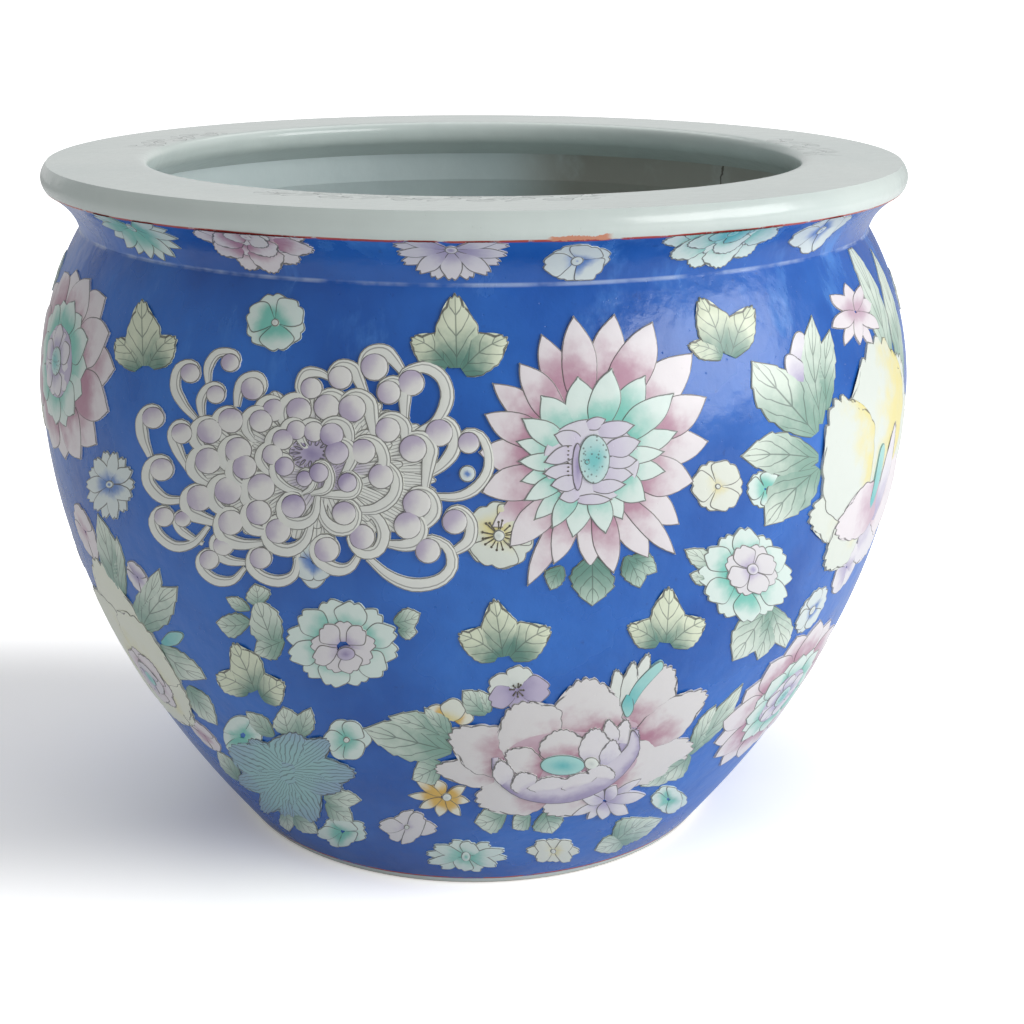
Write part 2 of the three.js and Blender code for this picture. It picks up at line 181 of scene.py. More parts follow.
def photo_to_wall(points):
    """Angle and run on the wall for pixels of the picture. A pixel past the edge takes the edge."""
    flat = np.asarray(points, float).reshape(-1, 2)
    side = (flat[:, 0] - AXIS_PX) / FOCAL_PX
    rise = (IMAGE / 2 - flat[:, 1]) / FOCAL_PX
    ray = np.stack([
        side,
        math.cos(TILT) + rise * math.sin(TILT),
        rise * math.cos(TILT) - math.sin(TILT),
    ], axis=1)
    ray /= np.linalg.norm(ray, axis=1)[:, None]
    reach = np.linspace(RAY_START, RAY_END, RAY_STEPS)
    track = np.array(EYE) + ray[:, None, :] * reach[None, :, None]
    gap = np.hypot(track[..., 0], track[..., 1]) - np.interp(
        track[..., 2], SEEN_POINTS[:, 1], SEEN_POINTS[:, 0])
    gap = np.where(track[..., 2] > LINE[1] + ABOVE_LINE, MISSED, gap)
    inside = gap < 0
    rows = np.arange(len(flat))
    met = inside.any(axis=1)
    first = np.where(met, inside.argmax(axis=1), gap.argmin(axis=1))
    before = np.maximum(first - 1, 0)
    fall = gap[rows, before] - gap[rows, first]
    falls = fall > NO_FALL
    share = np.where(met & falls, gap[rows, before] / np.where(falls, fall, 1), 1.0)
    place = track[rows, before] + (track[rows, first] - track[rows, before]) * share[:, None]
    angle = np.arctan2(place[:, 0], -place[:, 1])
    run = np.interp(place[:, 2], SEEN_POINTS[:, 1], WALL_RUN[:-1])
    shape = np.asarray(points).shape[:-1]
    return angle.reshape(shape), run.reshape(shape)


def enlarged(corner, scale):
    """Lays points that were read on an enlargement of the photograph."""
    def lay(points):
        return photo_to_wall(np.array(corner) + np.array(points, float) / scale)
    return lay


def sheet(turn, share, extra=0.0):
    """A flat sheet laid on the wall round a heart: millimetres to the right and up."""
    heart_run = share * NECK_RUN + extra

    def lay(points):
        points = np.asarray(points, float)
        run = heart_run + points[..., 1]
        return math.radians(turn) + points[..., 0] / wall_radius(run), run

    return lay


middle_run = photo_to_wall([(AXIS_PX, IMAGE / 2)])[1][0]
print("the middle of the picture: %.1f mm up the wall" % middle_run)

# %% [markdown]
# ## Fired colours
# Glaze and enamel are never one flat colour. The blue ground is clouded and streaked, the pale
# glaze has grey drifts, and each enamel runs from a pale tip to a deeper base under a thin dark
# brush line. Shared effects are node groups, so that every finish uses the same clouding and the
# same brush. A group could hold the shader too, but each material keeps its own.

# %% Helpers for materials
NODE_STEP = (180, 120)
FLOAT, VECTOR = "NodeSocketFloat", "NodeSocketVector"


def srgb(red, green, blue):
    """A colour as seen on a screen, from 0 to 255, as the linear values that shaders use."""
    def linear(value):
        value /= 255
        return value / 12.92 if value <= 0.04045 else ((value + 0.055) / 1.055) ** 2.4
    return (linear(red), linear(green), linear(blue), 1.0)


class Value:
    """What one node gives, so that a sum of nodes reads like a sum."""

    def __init__(self, tree, socket):
        self.tree = tree
        self.socket = socket

    def __add__(self, other):
        return self.tree.math("ADD", self, other)

    def __sub__(self, other):
        return self.tree.math("SUBTRACT", self, other)

    def __rsub__(self, other):
        return self.tree.math("SUBTRACT", other, self)

    def __mul__(self, other):
        return self.tree.math("MULTIPLY", self, other)

    def __truediv__(self, other):
        return self.tree.math("DIVIDE", self, other)

    def __pow__(self, other):
        return self.tree.math("POWER", self, other)

    def __abs__(self):
        return self.tree.math("ABSOLUTE", self)


class Tree:
    """Adds nodes to a tree and joins them in one line each."""

    def __init__(self, tree):
        self.tree = tree
        self.nodes = tree.nodes
        self.column = 0

    def add(self, kind, inputs=(), **settings):
        """A new node, with what goes into each of its sockets."""
        node = self.nodes.new(kind)
        self.column += 1
        node.location = (self.column * NODE_STEP[0], -self.column % 5 * NODE_STEP[1])
        for name, value in settings.items():
            setattr(node, name, value)
        for socket, value in dict(inputs).items():
            self.join(value, node.inputs[socket])
        return node

    def join(self, value, socket):
        if isinstance(value, Value):
            self.tree.links.new(value.socket, socket)
        else:
            socket.default_value = value

    def value(self, kind, output, inputs=(), **settings):
        """One output of a new node."""
        return Value(self, self.add(kind, inputs, **settings).outputs[output])

    def math(self, operation, *values, clamp=False):
        return self.value("ShaderNodeMath", 0, enumerate(values), operation=operation, use_clamp=clamp)

    def ramp(self, value, low, high):
        """0 below low, 1 above high and smooth between them."""
        limits = {"Value": value, "From Min": low, "From Max": high, "To Min": 0.0, "To Max": 1.0}
        return self.value("ShaderNodeMapRange", "Result", limits, interpolation_type="SMOOTHSTEP")

    def fall(self, value, low, high):
        """1 below low, 0 above high and smooth between them."""
        return 1.0 - self.ramp(value, low, high)

    def mix(self, share, first, second):
        """The first colour where the share is 0, the second where it is 1."""
        return self.value("ShaderNodeMix", 2, {0: share, 6: first, 7: second}, data_type="RGBA")

    def noise(self, place, scale, detail=3.0, rough=0.55):
        inputs = {"Vector": place, "Scale": scale, "Detail": detail, "Roughness": rough}
        return self.value("ShaderNodeTexNoise", "Fac", inputs)

    def cells(self, place, scale):
        """How far a point is from the middle of its cell."""
        return self.value("ShaderNodeTexVoronoi", "Distance", {"Vector": place, "Scale": scale})

    def stretched(self, place, stretch):
        return self.value("ShaderNodeMapping", "Vector", {"Vector": place, "Scale": stretch})

    def split(self, place):
        """The three coordinates of a point."""
        return [Value(self, socket) for socket in self.add("ShaderNodeSeparateXYZ", {0: place}).outputs]

    def from_axis(self, x, y):
        """How far a point is from the axis of the pot."""
        return self.math("SQRT", x**2.0 + y**2.0)


def new_group(name, inputs, outputs):
    """A node group with these inputs, its tree, and what it is given, in the same order."""
    group = bpy.data.node_groups.new(name, "ShaderNodeTree")
    for label, kind in inputs.items():
        group.interface.new_socket(label, in_out="INPUT", socket_type=kind)
    for label in outputs:
        group.interface.new_socket(label, in_out="OUTPUT", socket_type=FLOAT)
    tree = Tree(group)
    node = tree.add("NodeGroupInput")
    return group, tree, [Value(tree, node.outputs[label]) for label in inputs]


def use_group(tree, group, **inputs):
    """The outputs of a group, by their names."""
    node = tree.add("ShaderNodeGroup", inputs, node_tree=group)
    return {socket.name: Value(tree, socket) for socket in node.outputs}


# %% Clouding, orange peel and the worn red line
clouding, inner, (place, size) = new_group("Clouding", {"Place": VECTOR, "Size": FLOAT}, ["Cloud", "Fleck"])
wide = inner.noise(place, size, 4.0, 0.6)
small = inner.noise(place, size * 26.0, 2.0)
inner.add("NodeGroupOutput", {"Cloud": inner.ramp(wide, 0.3, 0.72), "Fleck": inner.ramp(small, 0.66, 0.8)})

peel, inner, (place,) = new_group("Orange peel", {"Place": VECTOR}, ["Height"])
swell = inner.noise(place, 55.0, 2.0)
grain = inner.noise(place, 420.0, 2.0)
pits = inner.ramp(inner.cells(place, 210.0), 0.0, 0.12)
inner.add("NodeGroupOutput", {"Height": swell * 1.6 + grain * 0.16 + pits * 0.25})

LINE_HALF = 0.75
CHIP_FROM, CHIP_TO = 0.03, 0.06
CHIP_SOFT = 0.004
CHIP_REACH = 0.9
CHIP_EDGE = (-1.4 * MM, -1.0 * MM)
DRIFT = 1.4 * MM
RAGGED = 4.4 * MM
OUTSIDE_FROM = (0.205, 0.21)
LINE_FROM = (0.2, 0.21)
BAND_TO = (0.1, 0.11)
red_line, inner, (place,) = new_group("Worn red line", {"Place": VECTOR}, ["Line", "Chip"])
x, y, z = inner.split(place)
drift = (inner.noise(place, 26.0) - 0.5) * DRIFT
bands = []
for level in (LINE[1], FOOT_BAND):
    bands.append(inner.fall(abs(z + drift - level * MM), LINE_HALF * 0.5 * MM, LINE_HALF * MM))
worn = inner.ramp(inner.noise(place, 90.0, 4.0, 0.7), 0.3, 0.48)
under_rim = inner.ramp(inner.from_axis(x, y), *OUTSIDE_FROM) * inner.ramp(z, *LINE_FROM)
outside = inner.math("MAXIMUM", under_rim, inner.fall(z, *BAND_TO))
chip = inner.ramp(x, CHIP_FROM, CHIP_FROM + CHIP_SOFT) * inner.fall(x, CHIP_TO - CHIP_SOFT, CHIP_TO)
chip = chip * inner.math("LESS_THAN", y, 0.0)
ragged = inner.noise(place, 200.0, 4.0, 0.7) * RAGGED
reach_up = abs(z - (LINE[1] + CHIP_REACH) * MM)
flaked = inner.fall(reach_up - ragged, *CHIP_EDGE)
inner.add("NodeGroupOutput", {
    "Line": inner.math("MAXIMUM", *bands) * worn * outside,
    "Chip": chip * flaked,
})
print("groups:", [group.name for group in bpy.data.node_groups])

# %% Start a fired finish
RED_LINE = srgb(170, 66, 60)
CHIP_ORANGE = srgb(200, 136, 108)


def fired(name, roughness):
    """A material, its tree, the inputs of its shader and the Object coordinates."""
    material = bpy.data.materials.new(name)
    material.use_nodes = True
    tree = Tree(material.node_tree)
    shader = tree.nodes["Principled BSDF"].inputs
    shader["Roughness"].default_value = roughness
    return material, tree, shader, tree.value("ShaderNodeTexCoord", "Object")


def bumped(tree, shader, height, distance):
    """Lets a height stand out of the surface, by a distance in metres."""
    normal = tree.value("ShaderNodeBump", "Normal", {"Height": height, "Distance": distance})
    tree.join(normal, shader["Normal"])


def peeled(tree, shader, place, distance):
    """The uneven skin of a fired glaze."""
    bumped(tree, shader, use_group(tree, peel, Place=place)["Height"], distance)


def lined(tree, place, colour):
    """A colour with the worn red line and its chip laid over it."""
    line = use_group(tree, red_line, Place=place)
    return tree.mix(line["Chip"], tree.mix(line["Line"], colour, RED_LINE), CHIP_ORANGE)


# %% [markdown]
# ### The blue ground
# The ground is a cobalt enamel brushed over the white glaze: deep and a little violet, with pale
# upright brush streaks and an uneven skin that breaks up the light. On the shoulder the streaks are
# laid on stronger as a painted sheen where the light is reflected. Noise stretched upright gives the
# strokes, and the height of a point says where they show.

# %% Blue ground
BLUE_DEEP = srgb(22, 82, 166)
BLUE_LIGHT = srgb(46, 112, 200)
# pale brush strokes, laid on stronger on the shoulder as a painted sheen
BLUE_STREAK_SHEEN = srgb(80, 140, 214)
BLUE_FLECK = srgb(26, 48, 112)
BLUE_THIN_GLINT = srgb(170, 188, 220)
SHOULDER_SHEEN_FADE = (0.262, 0.325)
CREASE_GLINT_FADE = (0.3 * MM, 1.3 * MM)


def blue_ground():
    """Cobalt with brush strokes, a painted sheen on the shoulder and a painted highlight along the crease of
    the neck, where the cobalt also runs thin.
    """
    material, tree, shader, place = fired("blue_ground", 0.24)
    cloud = use_group(tree, clouding, Place=place, Size=9.0)
    colour = tree.mix(cloud["Cloud"], BLUE_DEEP, BLUE_LIGHT)
    strokes = tree.noise(tree.stretched(place, (46.0, 46.0, 7.0)), 1.0, 5.0, 0.62)
    height = tree.split(place)[2]
    # painted sheen: the pale strokes grow stronger on the shoulder, where light is reflected
    shoulder = tree.ramp(height, *SHOULDER_SHEEN_FADE)
    streak_and_sheen = tree.ramp(strokes, 0.52, 0.76) * tree.math("ADD", shoulder, 0.16, clamp=True)
    colour = tree.mix(streak_and_sheen * 0.75, colour, BLUE_STREAK_SHEEN)
    colour = tree.mix(cloud["Fleck"] * 0.3, colour, BLUE_FLECK)
    # painted highlight along the crease of the neck, where the cobalt also runs thin
    thin_and_glint = tree.fall(abs(height - NECK[1] * MM), *CREASE_GLINT_FADE)
    thin_and_glint = thin_and_glint * tree.ramp(tree.noise(place, 45.0, 3.0), 0.36, 0.6)
    colour = tree.mix(thin_and_glint * 0.7, colour, BLUE_THIN_GLINT)
    tree.join(lined(tree, place, colour), shader["Base Color"])
    tree.join(cloud["Cloud"] * 0.12 + streak_and_sheen * 0.1 + 0.2, shader["Roughness"])
    peeled(tree, shader, place, 0.0006)
    return material


# %% [markdown]
# ### The pale glaze
# Rim, lining and foot share a grey celadon glaze. The rim carries three worn sprays of grey-green
# leaves near its inner edge. Each is a vine that swings round the rim, with pairs of oval leaves
# beside it, all written in polar coordinates, and noise wears it away. Inside, a brown water stain
# hangs under the mouth at the back, with a fine crack beside it, and silt has settled at the floor.

# %% Pale glaze of the rim, the lining and the foot
PALE = srgb(206, 216, 212)
PALE_GREY = srgb(184, 198, 196)
LINING_PALE = srgb(216, 228, 228)
LINING_GREY = srgb(196, 210, 212)
CLAY_PALE = srgb(196, 184, 164)
CLAY_BROWN = srgb(158, 140, 116)
SPRAY_GREEN = srgb(112, 124, 120)
STAIN = srgb(128, 104, 74)
SILT = srgb(150, 142, 120)
CRACK = srgb(70, 56, 44)
# where these show, in metres: the stain and the crack high up at the back, the silt at the floor
STAIN_X, STAIN_Y = (0.01, 0.07), (0.04, 0.1)
CRACK_X, CRACK_Y = 0.152, (0.05, 0.08)
CRACK_EDGE = (0.2 * MM, 0.7 * MM)
HIGH_UP = (0.2, 0.3)
SILT_TO = (0.05, 0.13)
SPRAY_BAND = (177.0, 179.0, 196.0, 200.0)
# where each spray lies round the rim and half its width, in radians
SPRAY_PLACES = ((-0.11, 0.46), (1.72, 0.26), (-1.95, 0.26))
SPRAY_END = 0.06
VINE_RADIUS = 188.0
VINE_SWING = 3.0
VINE_TURNS = 36.0
VINE_SHAKE = 7.0
VINE_LEAN = 60.0
VINE_EDGE = (0.4 * MM, 1.0 * MM)
LEAF_AWAY = 4.6
LEAF_HALF = 4.0
LEAF_SHARE = 0.36
RIM_TOP_FADE = ((RIM_TOP - 1.5) * MM, (RIM_TOP - 0.4) * MM)
GLAZE_EDGE = (1.2 * MM, 2.0 * MM)


def polar(tree, place):
    """Angle in radians, distance from the axis in metres and height of a point."""
    x, y, z = tree.split(place)
    return tree.math("ARCTAN2", x, y * -1.0), tree.from_axis(x, y), z


def rim_glaze():
    """Celadon with the worn sprays on the level top of the rim."""
    material, tree, shader, place = fired("rim_glaze", 0.2)
    cloud = use_group(tree, clouding, Place=place, Size=7.0)
    colour = tree.mix(cloud["Cloud"] * 0.55, PALE, PALE_GREY)
    angle, radius, height = polar(tree, place)
    swing = tree.math("SINE", angle * VINE_TURNS) * (VINE_SWING * MM)
    shaken = (tree.noise(place, 120.0, 2.0) - 0.5) * (VINE_SHAKE * MM)
    away = radius + shaken - VINE_RADIUS * MM - swing
    vine = tree.fall(abs(away), *VINE_EDGE)
    along = tree.math("FRACT", angle * (VINE_TURNS / math.pi) + away * VINE_LEAN) - 0.5
    outwards = (abs(away) - LEAF_AWAY * MM) / (LEAF_HALF * MM)
    oval = (along / LEAF_SHARE) ** 2.0 + outwards**2.0
    leaf_shape = tree.fall(oval, 0.85, 1.0)
    outline = tree.fall(abs(oval - 0.95), 0.06, 0.2)
    edges = [radius_mm * MM for radius_mm in SPRAY_BAND]
    band = tree.ramp(radius, *edges[:2]) * tree.fall(radius, *edges[2:])
    sprays = 0.0
    for centre, half in SPRAY_PLACES:
        window = tree.fall(abs(angle - centre), half - SPRAY_END, half)
        sprays = tree.math("MAXIMUM", sprays, window)
    worn_off = tree.ramp(tree.noise(place, 110.0, 3.0, 0.7), 0.34, 0.52)
    pattern = tree.math("ADD", leaf_shape * 0.4, tree.math("MAXIMUM", outline, vine), clamp=True)
    spray = band * (sprays * worn_off) * pattern * 0.8
    colour = tree.mix(spray * tree.ramp(height, *RIM_TOP_FADE), colour, SPRAY_GREEN)
    tree.join(lined(tree, place, colour), shader["Base Color"])
    peeled(tree, shader, place, 0.00035)
    return material


def lining_glaze():
    """The glaze of the inside, with its stain, its silt and its crack."""
    material, tree, shader, place = fired("lining_glaze", 0.24)
    cloud = use_group(tree, clouding, Place=place, Size=8.0)
    colour = tree.mix(cloud["Cloud"] * 0.6, LINING_PALE, LINING_GREY)
    x, y, z = tree.split(place)
    blot = tree.noise(tree.stretched(place, (1.0, 1.0, 0.6)), 24.0, 5.0, 0.65)
    upper = tree.ramp(z, *HIGH_UP)
    stain = tree.ramp(x, *STAIN_X) * tree.ramp(y, *STAIN_Y) * upper * tree.ramp(blot, 0.12, 0.5)
    colour = tree.mix(stain * 0.62, colour, STAIN)
    silt = tree.fall(z + blot * 0.05, *SILT_TO)
    colour = tree.mix(silt * 0.5, colour, SILT)
    wander = (tree.noise(place, 30.0, 4.0) - 0.5) * 0.02
    hair = tree.fall(abs(x + wander - CRACK_X), *CRACK_EDGE)
    hair = hair * (upper * tree.ramp(y, *CRACK_Y))
    tree.join(tree.mix(hair * 0.8, colour, CRACK), shader["Base Color"])
    peeled(tree, shader, place, 0.0004)
    return material


def bare_clay():
    """Unglazed clay of the resting edge, with the glaze line of the foot above it."""
    material, tree, shader, place = fired("bare_clay", 0.85)
    grit = tree.noise(place, 260.0, 4.0, 0.7)
    clay = tree.mix(tree.ramp(grit, 0.35, 0.7), CLAY_PALE, CLAY_BROWN)
    edge = tree.split(place)[2] + tree.noise(place, 60.0) * (1.2 * MM)
    glazed = tree.ramp(edge, *GLAZE_EDGE)
    tree.join(lined(tree, place, tree.mix(glazed, clay, PALE)), shader["Base Color"])
    tree.join(0.85 - glazed * 0.6, shader["Roughness"])
    bumped(tree, shader, grit, 0.0003)
    return material


BLUE_GROUND = blue_ground()
RIM_GLAZE = rim_glaze()
LINING_GLAZE = lining_glaze()
BARE_CLAY = bare_clay()
print("glazes:", [material.name for material in (BLUE_GROUND, RIM_GLAZE, LINING_GLAZE, BARE_CLAY)])

# %% [markdown]
# ## Throwing the pot
# The real pot is thrown in sections that are luted together. Each section is a ring here. It could
# be a spun profile, but a ring that is extruded and resized step by step is how a wall grows on the
# wheel: a circle is laid down, pulled up the outside, over the top and down the inside until it
# meets itself.

# %% Throw a closed ring
ROUND = 192
SEAM = 0.02


def throw(name, section, angle=28):
    """A ring turned from a closed section of radius and height, in millimetres."""
    bpy.ops.object.select_all(action="DESELECT")
    radius, height = section[0]
    start = (0, 0, height * MM)
    bpy.ops.mesh.primitive_circle_add(vertices=ROUND, radius=radius * MM, location=start)
    piece = bpy.context.object
    piece.name = name
    bpy.ops.object.transform_apply(location=True, rotation=True, scale=True)
    bpy.ops.object.mode_set(mode="EDIT")
    bpy.ops.mesh.select_all(action="SELECT")
    for new_radius, new_height in [*section[1:], section[0]]:
        rise = (0, 0, (new_height - height) * MM)
        bpy.ops.mesh.extrude_region_move(TRANSFORM_OT_translate={"value": rise})
        grow = new_radius / radius
        bpy.ops.transform.resize(value=(grow, grow, 1), center_override=(0, 0, new_height * MM))
        radius, height = new_radius, new_height
    bpy.ops.mesh.select_all(action="SELECT")
    bpy.ops.mesh.remove_doubles(threshold=SEAM * MM)
    bpy.ops.mesh.normals_make_consistent(inside=False)
    bpy.ops.object.mode_set(mode="OBJECT")
    bpy.ops.object.shade_smooth_by_angle(angle=math.radians(angle))
    print("thrown:", name, len(piece.data.polygons), "faces")
    return piece


def settle(piece, node):
    """Ties a finished piece to the pot and lets it stand for its solid."""
    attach(piece, "root")
    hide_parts(node)


def line_inside(piece, outside, inside):
    """Two finishes on one ring: the faces that look away from the axis take the first."""
    piece.data.materials.append(outside)
    piece.data.materials.append(inside)
    for face in piece.data.polygons:
        away = face.normal.x * face.center.x + face.normal.y * face.center.y
        face.material_index = 0 if away > 0 else 1


# %% The wall in three sections
WALL_STEPS = 26
CURVE_STEPS = 400
EDGE_STEP = 0.004
FOOT_SHARE = 0.0417
LUTE_SHARE = 2 / 3
LUTE_SLANT = 6.0
FOOT_SLANT = 3.0


def wall_ring(name, curve, start, end, top_slant=LUTE_SLANT, foot_slant=LUTE_SLANT):
    """A section of the wall between two shares of a curve, with close loops at its edges."""
    shares = np.concatenate([
        [start, start + EDGE_STEP], np.linspace(start, end, WALL_STEPS)[1:-1], [end - EDGE_STEP, end]])
    fine = np.linspace(0, 1, CURVE_STEPS)
    places, normals = with_normals(curve, CURVE_STEPS)

    def at(share, values):
        return np.array([np.interp(share, fine, values[:, k]) for k in (0, 1)])

    outer, lining = [], []
    for share in shares:
        place, out = at(share, places), at(share, normals)
        slip = top_slant * (share > end - 2 * EDGE_STEP) + foot_slant * (share < start + 2 * EDGE_STEP)
        outer.append(place)
        lining.append(place - WALL * out + slip * np.array([-out[1], out[0]]))
    keep = [lining[0], *lining[2:-2], lining[-1]]
    piece = throw(name, [tuple(point) for point in [*outer, *keep[::-1]]])
    line_inside(piece, BLUE_GROUND, LINING_GLAZE)
    settle(piece, name)


wall_ring("lower_wall", LOWER_CURVE, FOOT_SHARE, LUTE_SHARE, foot_slant=FOOT_SLANT)
wall_ring("belly_wall", LOWER_CURVE, LUTE_SHARE, 1.0)
wall_ring("shoulder_wall", UPPER_CURVE, 0.0, 1.0, top_slant=0.0)

# %% [markdown]
# ### Neck, rim and foot
# The neck flares like a trumpet outside, while its throat is a plain slope. The rim is a flat ring
# with a rounded pale band outside and a soft lip inside. Both are thrown from short sections with
# a few close loops, so that the light rolls over their edges.

# %% Neck and rim
THROAT = (199.0, 346.0)
CREASE_INSIDE = (203.4, 328.6)
BAND_HANDLE = (232.1, RIM_TOP - 6.4)
BAND_TOP = 226.5
RIM_LOOPS = (215.0, 200.0)
LIP_TOP = 180.8
LIP_CORNER = 170.8
LIP_FOOT = (176.8, 357.0)
UNDER_RIM = (180.0, 354.5)


def arc(start, handle, end, count=7):
    """Points of one soft edge."""
    return [tuple(point) for point in bezier([start, handle, end], np.linspace(0, 1, count))]


crease_round = [NECK, (NECK[0] + 0.05, NECK[1] + 0.25)]
flare = arc(NECK, FLARE_HANDLE, LINE, 14)
line_edge = [(LINE[0] - 0.2, LINE[1] - 0.25), LINE]
neck = throw("neck_flare", [*crease_round, *flare[1:-1], *line_edge, THROAT, CREASE_INSIDE])
line_inside(neck, BLUE_GROUND, LINING_GLAZE)
settle(neck, "neck_flare")

band = arc(LINE, BAND_HANDLE, (BAND_TOP, RIM_TOP), 10)
flat_top = [(radius, RIM_TOP) for radius in (BAND_TOP - 0.8, *RIM_LOOPS, LIP_TOP + 1.5)]
lip = arc((LIP_TOP, RIM_TOP), (LIP_CORNER, RIM_TOP), LIP_FOOT, 9)
rim = throw("rim_flange", [*band, *flat_top, *lip, UNDER_RIM, THROAT], angle=40)
rim.data.materials.append(RIM_GLAZE)
settle(rim, "rim_flange")

# %% Foot ring and floor
FOOT_INNER = 119.0
FOOT_TOP = 9.0
FLOOR_TOP = 21.4
FLOOR_GAP = 0.4
FOOT_EDGES = (0.6, 1.0)
LOOKS_UP = 0.9
RIDGES = 12
RIDGE_STEPS = (6.0, 3.0)
RIDGE_DEPTHS = (-0.35, 0.35)
band_top = tuple(bezier(LOWER_CURVE, [FOOT_SHARE])[0])
floor_radius = band_top[0] - WALL
rounding = arc((FOOT_RADIUS - 1.5, 0), (FOOT_RADIUS + 0.2, 0), (FOOT_RADIUS + 1.1, 1.4), 5)
foot = throw("foot_ring", [
    *rounding,
    band_top,
    (floor_radius, FOOT_TOP),
    (FOOT_INNER + FOOT_EDGES[0], FOOT_TOP),
    (FOOT_INNER, FOOT_TOP - FOOT_EDGES[0]),
    (FOOT_INNER, FOOT_EDGES[1]),
    (FOOT_INNER + FOOT_EDGES[1], 0),
])
foot.data.materials.append(BARE_CLAY)
settle(foot, "foot_ring")

bpy.ops.object.select_all(action="DESELECT")
floor_radius -= 0.2
floor_slope = (FLOOR_TOP - FOOT_TOP) / math.tan(FOOT_SLOPE)
bpy.ops.mesh.primitive_cone_add(
    vertices=ROUND,
    radius1=floor_radius * MM,
    radius2=(floor_radius + floor_slope) * MM,
    depth=(FLOOR_TOP - FOOT_TOP - FLOOR_GAP) * MM,
    location=(0, 0, (FLOOR_TOP + FOOT_TOP + FLOOR_GAP) / 2 * MM),
)
floor_disc = bpy.context.object
floor_disc.name = "base_disc"
bpy.ops.object.transform_apply(location=True, rotation=True, scale=True)
bpy.ops.object.mode_set(mode="EDIT")
bpy.ops.mesh.select_mode(type="FACE")
bpy.ops.mesh.select_all(action="DESELECT")
bpy.ops.object.mode_set(mode="OBJECT")
for face in floor_disc.data.polygons:
    face.select = face.normal.z > LOOKS_UP
bpy.ops.object.mode_set(mode="EDIT")
for ridge in range(RIDGES):
    bpy.ops.mesh.inset(thickness=RIDGE_STEPS[ridge % 2] * MM, depth=RIDGE_DEPTHS[ridge % 2] * MM)
bpy.ops.object.mode_set(mode="OBJECT")
bpy.ops.object.shade_smooth_by_angle(angle=math.radians(40))
floor_disc.data.materials.append(LINING_GLAZE)
settle(floor_disc, "base_disc")

# %% [markdown]
# ## Petals pressed on the wall
# A relief petal is a thin leaf of clay on a curved wall, proud at its edge, where a pale painted
# highlight runs, with a dark brush line just inside it. Sculpting operators can't follow a drawing
# round the pot, so each petal is a small patch of quads made by formula: a width that swells and
# closes along its length, a tip that is round, notched or wavy, laid on the wall and lifted by its
# own thickness. Its points keep how far they are from the edge, how far along and how far across
# they lie, and the paint uses that.

# %% Shapes of petals
randomly = random.Random(7)
PETALS = {
    # widths from base to tip, how round the tip is, scallops along the tip and the sides, notch, teeth
    "pointed": dict(widths=(0.6, 0.95, 1.32, 1.1, 0.06), tip=0.02),
    "ogee": dict(widths=(0.5, 1.0, 1.3, 1.0, 0.12), tip=0.05),
    "round": dict(widths=(0.35, 0.7, 1.1, 1.15, 0.72), tip=0.22),
    "notched": dict(widths=(0.25, 0.6, 1.15, 1.2, 0.7), tip=0.2, notch=0.1),
    "wavy": dict(widths=(0.5, 0.9, 1.15, 1.2, 0.7), tip=0.22, scallops=(5, 4)),
    "lobe": dict(widths=(0.4, 1.0, 1.3, 1.15, 0.4), tip=0.14, scallops=(3, 5)),
    "ray": dict(widths=(0.7, 0.9, 1.05, 1.1, 0.85), tip=0.1),
    "leaf": dict(widths=(0.2, 1.0, 1.45, 0.9, 0.06), tip=0.02, teeth=5),
    "blade": dict(widths=(0.3, 0.9, 1.3, 0.9, 0.02), tip=0.0),
}
PLAIN_NET, FINE_NET = (12, 11), (19, 17)
EXTRA_NET = (12, 10)
TIP_CROWDING = 1.5
TIP_CURVE = 2.3
TEETH_DEPTH = 0.13
TEETH_START = 4
SCALLOP_DEPTH = 0.06
SCALLOP_START = 3
SCALLOP_SHIFT = 0.02
NOTCH_WIDTH = 0.22
HAND = 0.045
HAND_WAVES = 1.3
PLAIN_BOSS, FINE_BOSS = 9, 17
STRAP_SIDES = np.array([-1, -0.75, -0.4, 0, 0.4, 0.75, 1.0])
STRAP_END = (0.9, 0.11)
SHADED_FROM = (-0.7, 1.4)
TINY = 1e-6
print("forms of petals:", sorted(PETALS))


def cusps(value, count):
    """0 on the crown of each scallop and 1 in the cusp between two."""
    return 1 - np.abs(np.sin(math.pi * count * value))


def crowded(count):
    """Places from -1 to 1 that lie closer together at both edges."""
    return np.sin(math.pi / 2 * np.linspace(-1, 1, count))


def spread(reach, side):
    """The values of a net: reach for each row and side for each column."""
    return np.repeat(reach[:, None], len(side), 1), np.repeat(side[None, :], len(reach), 0)


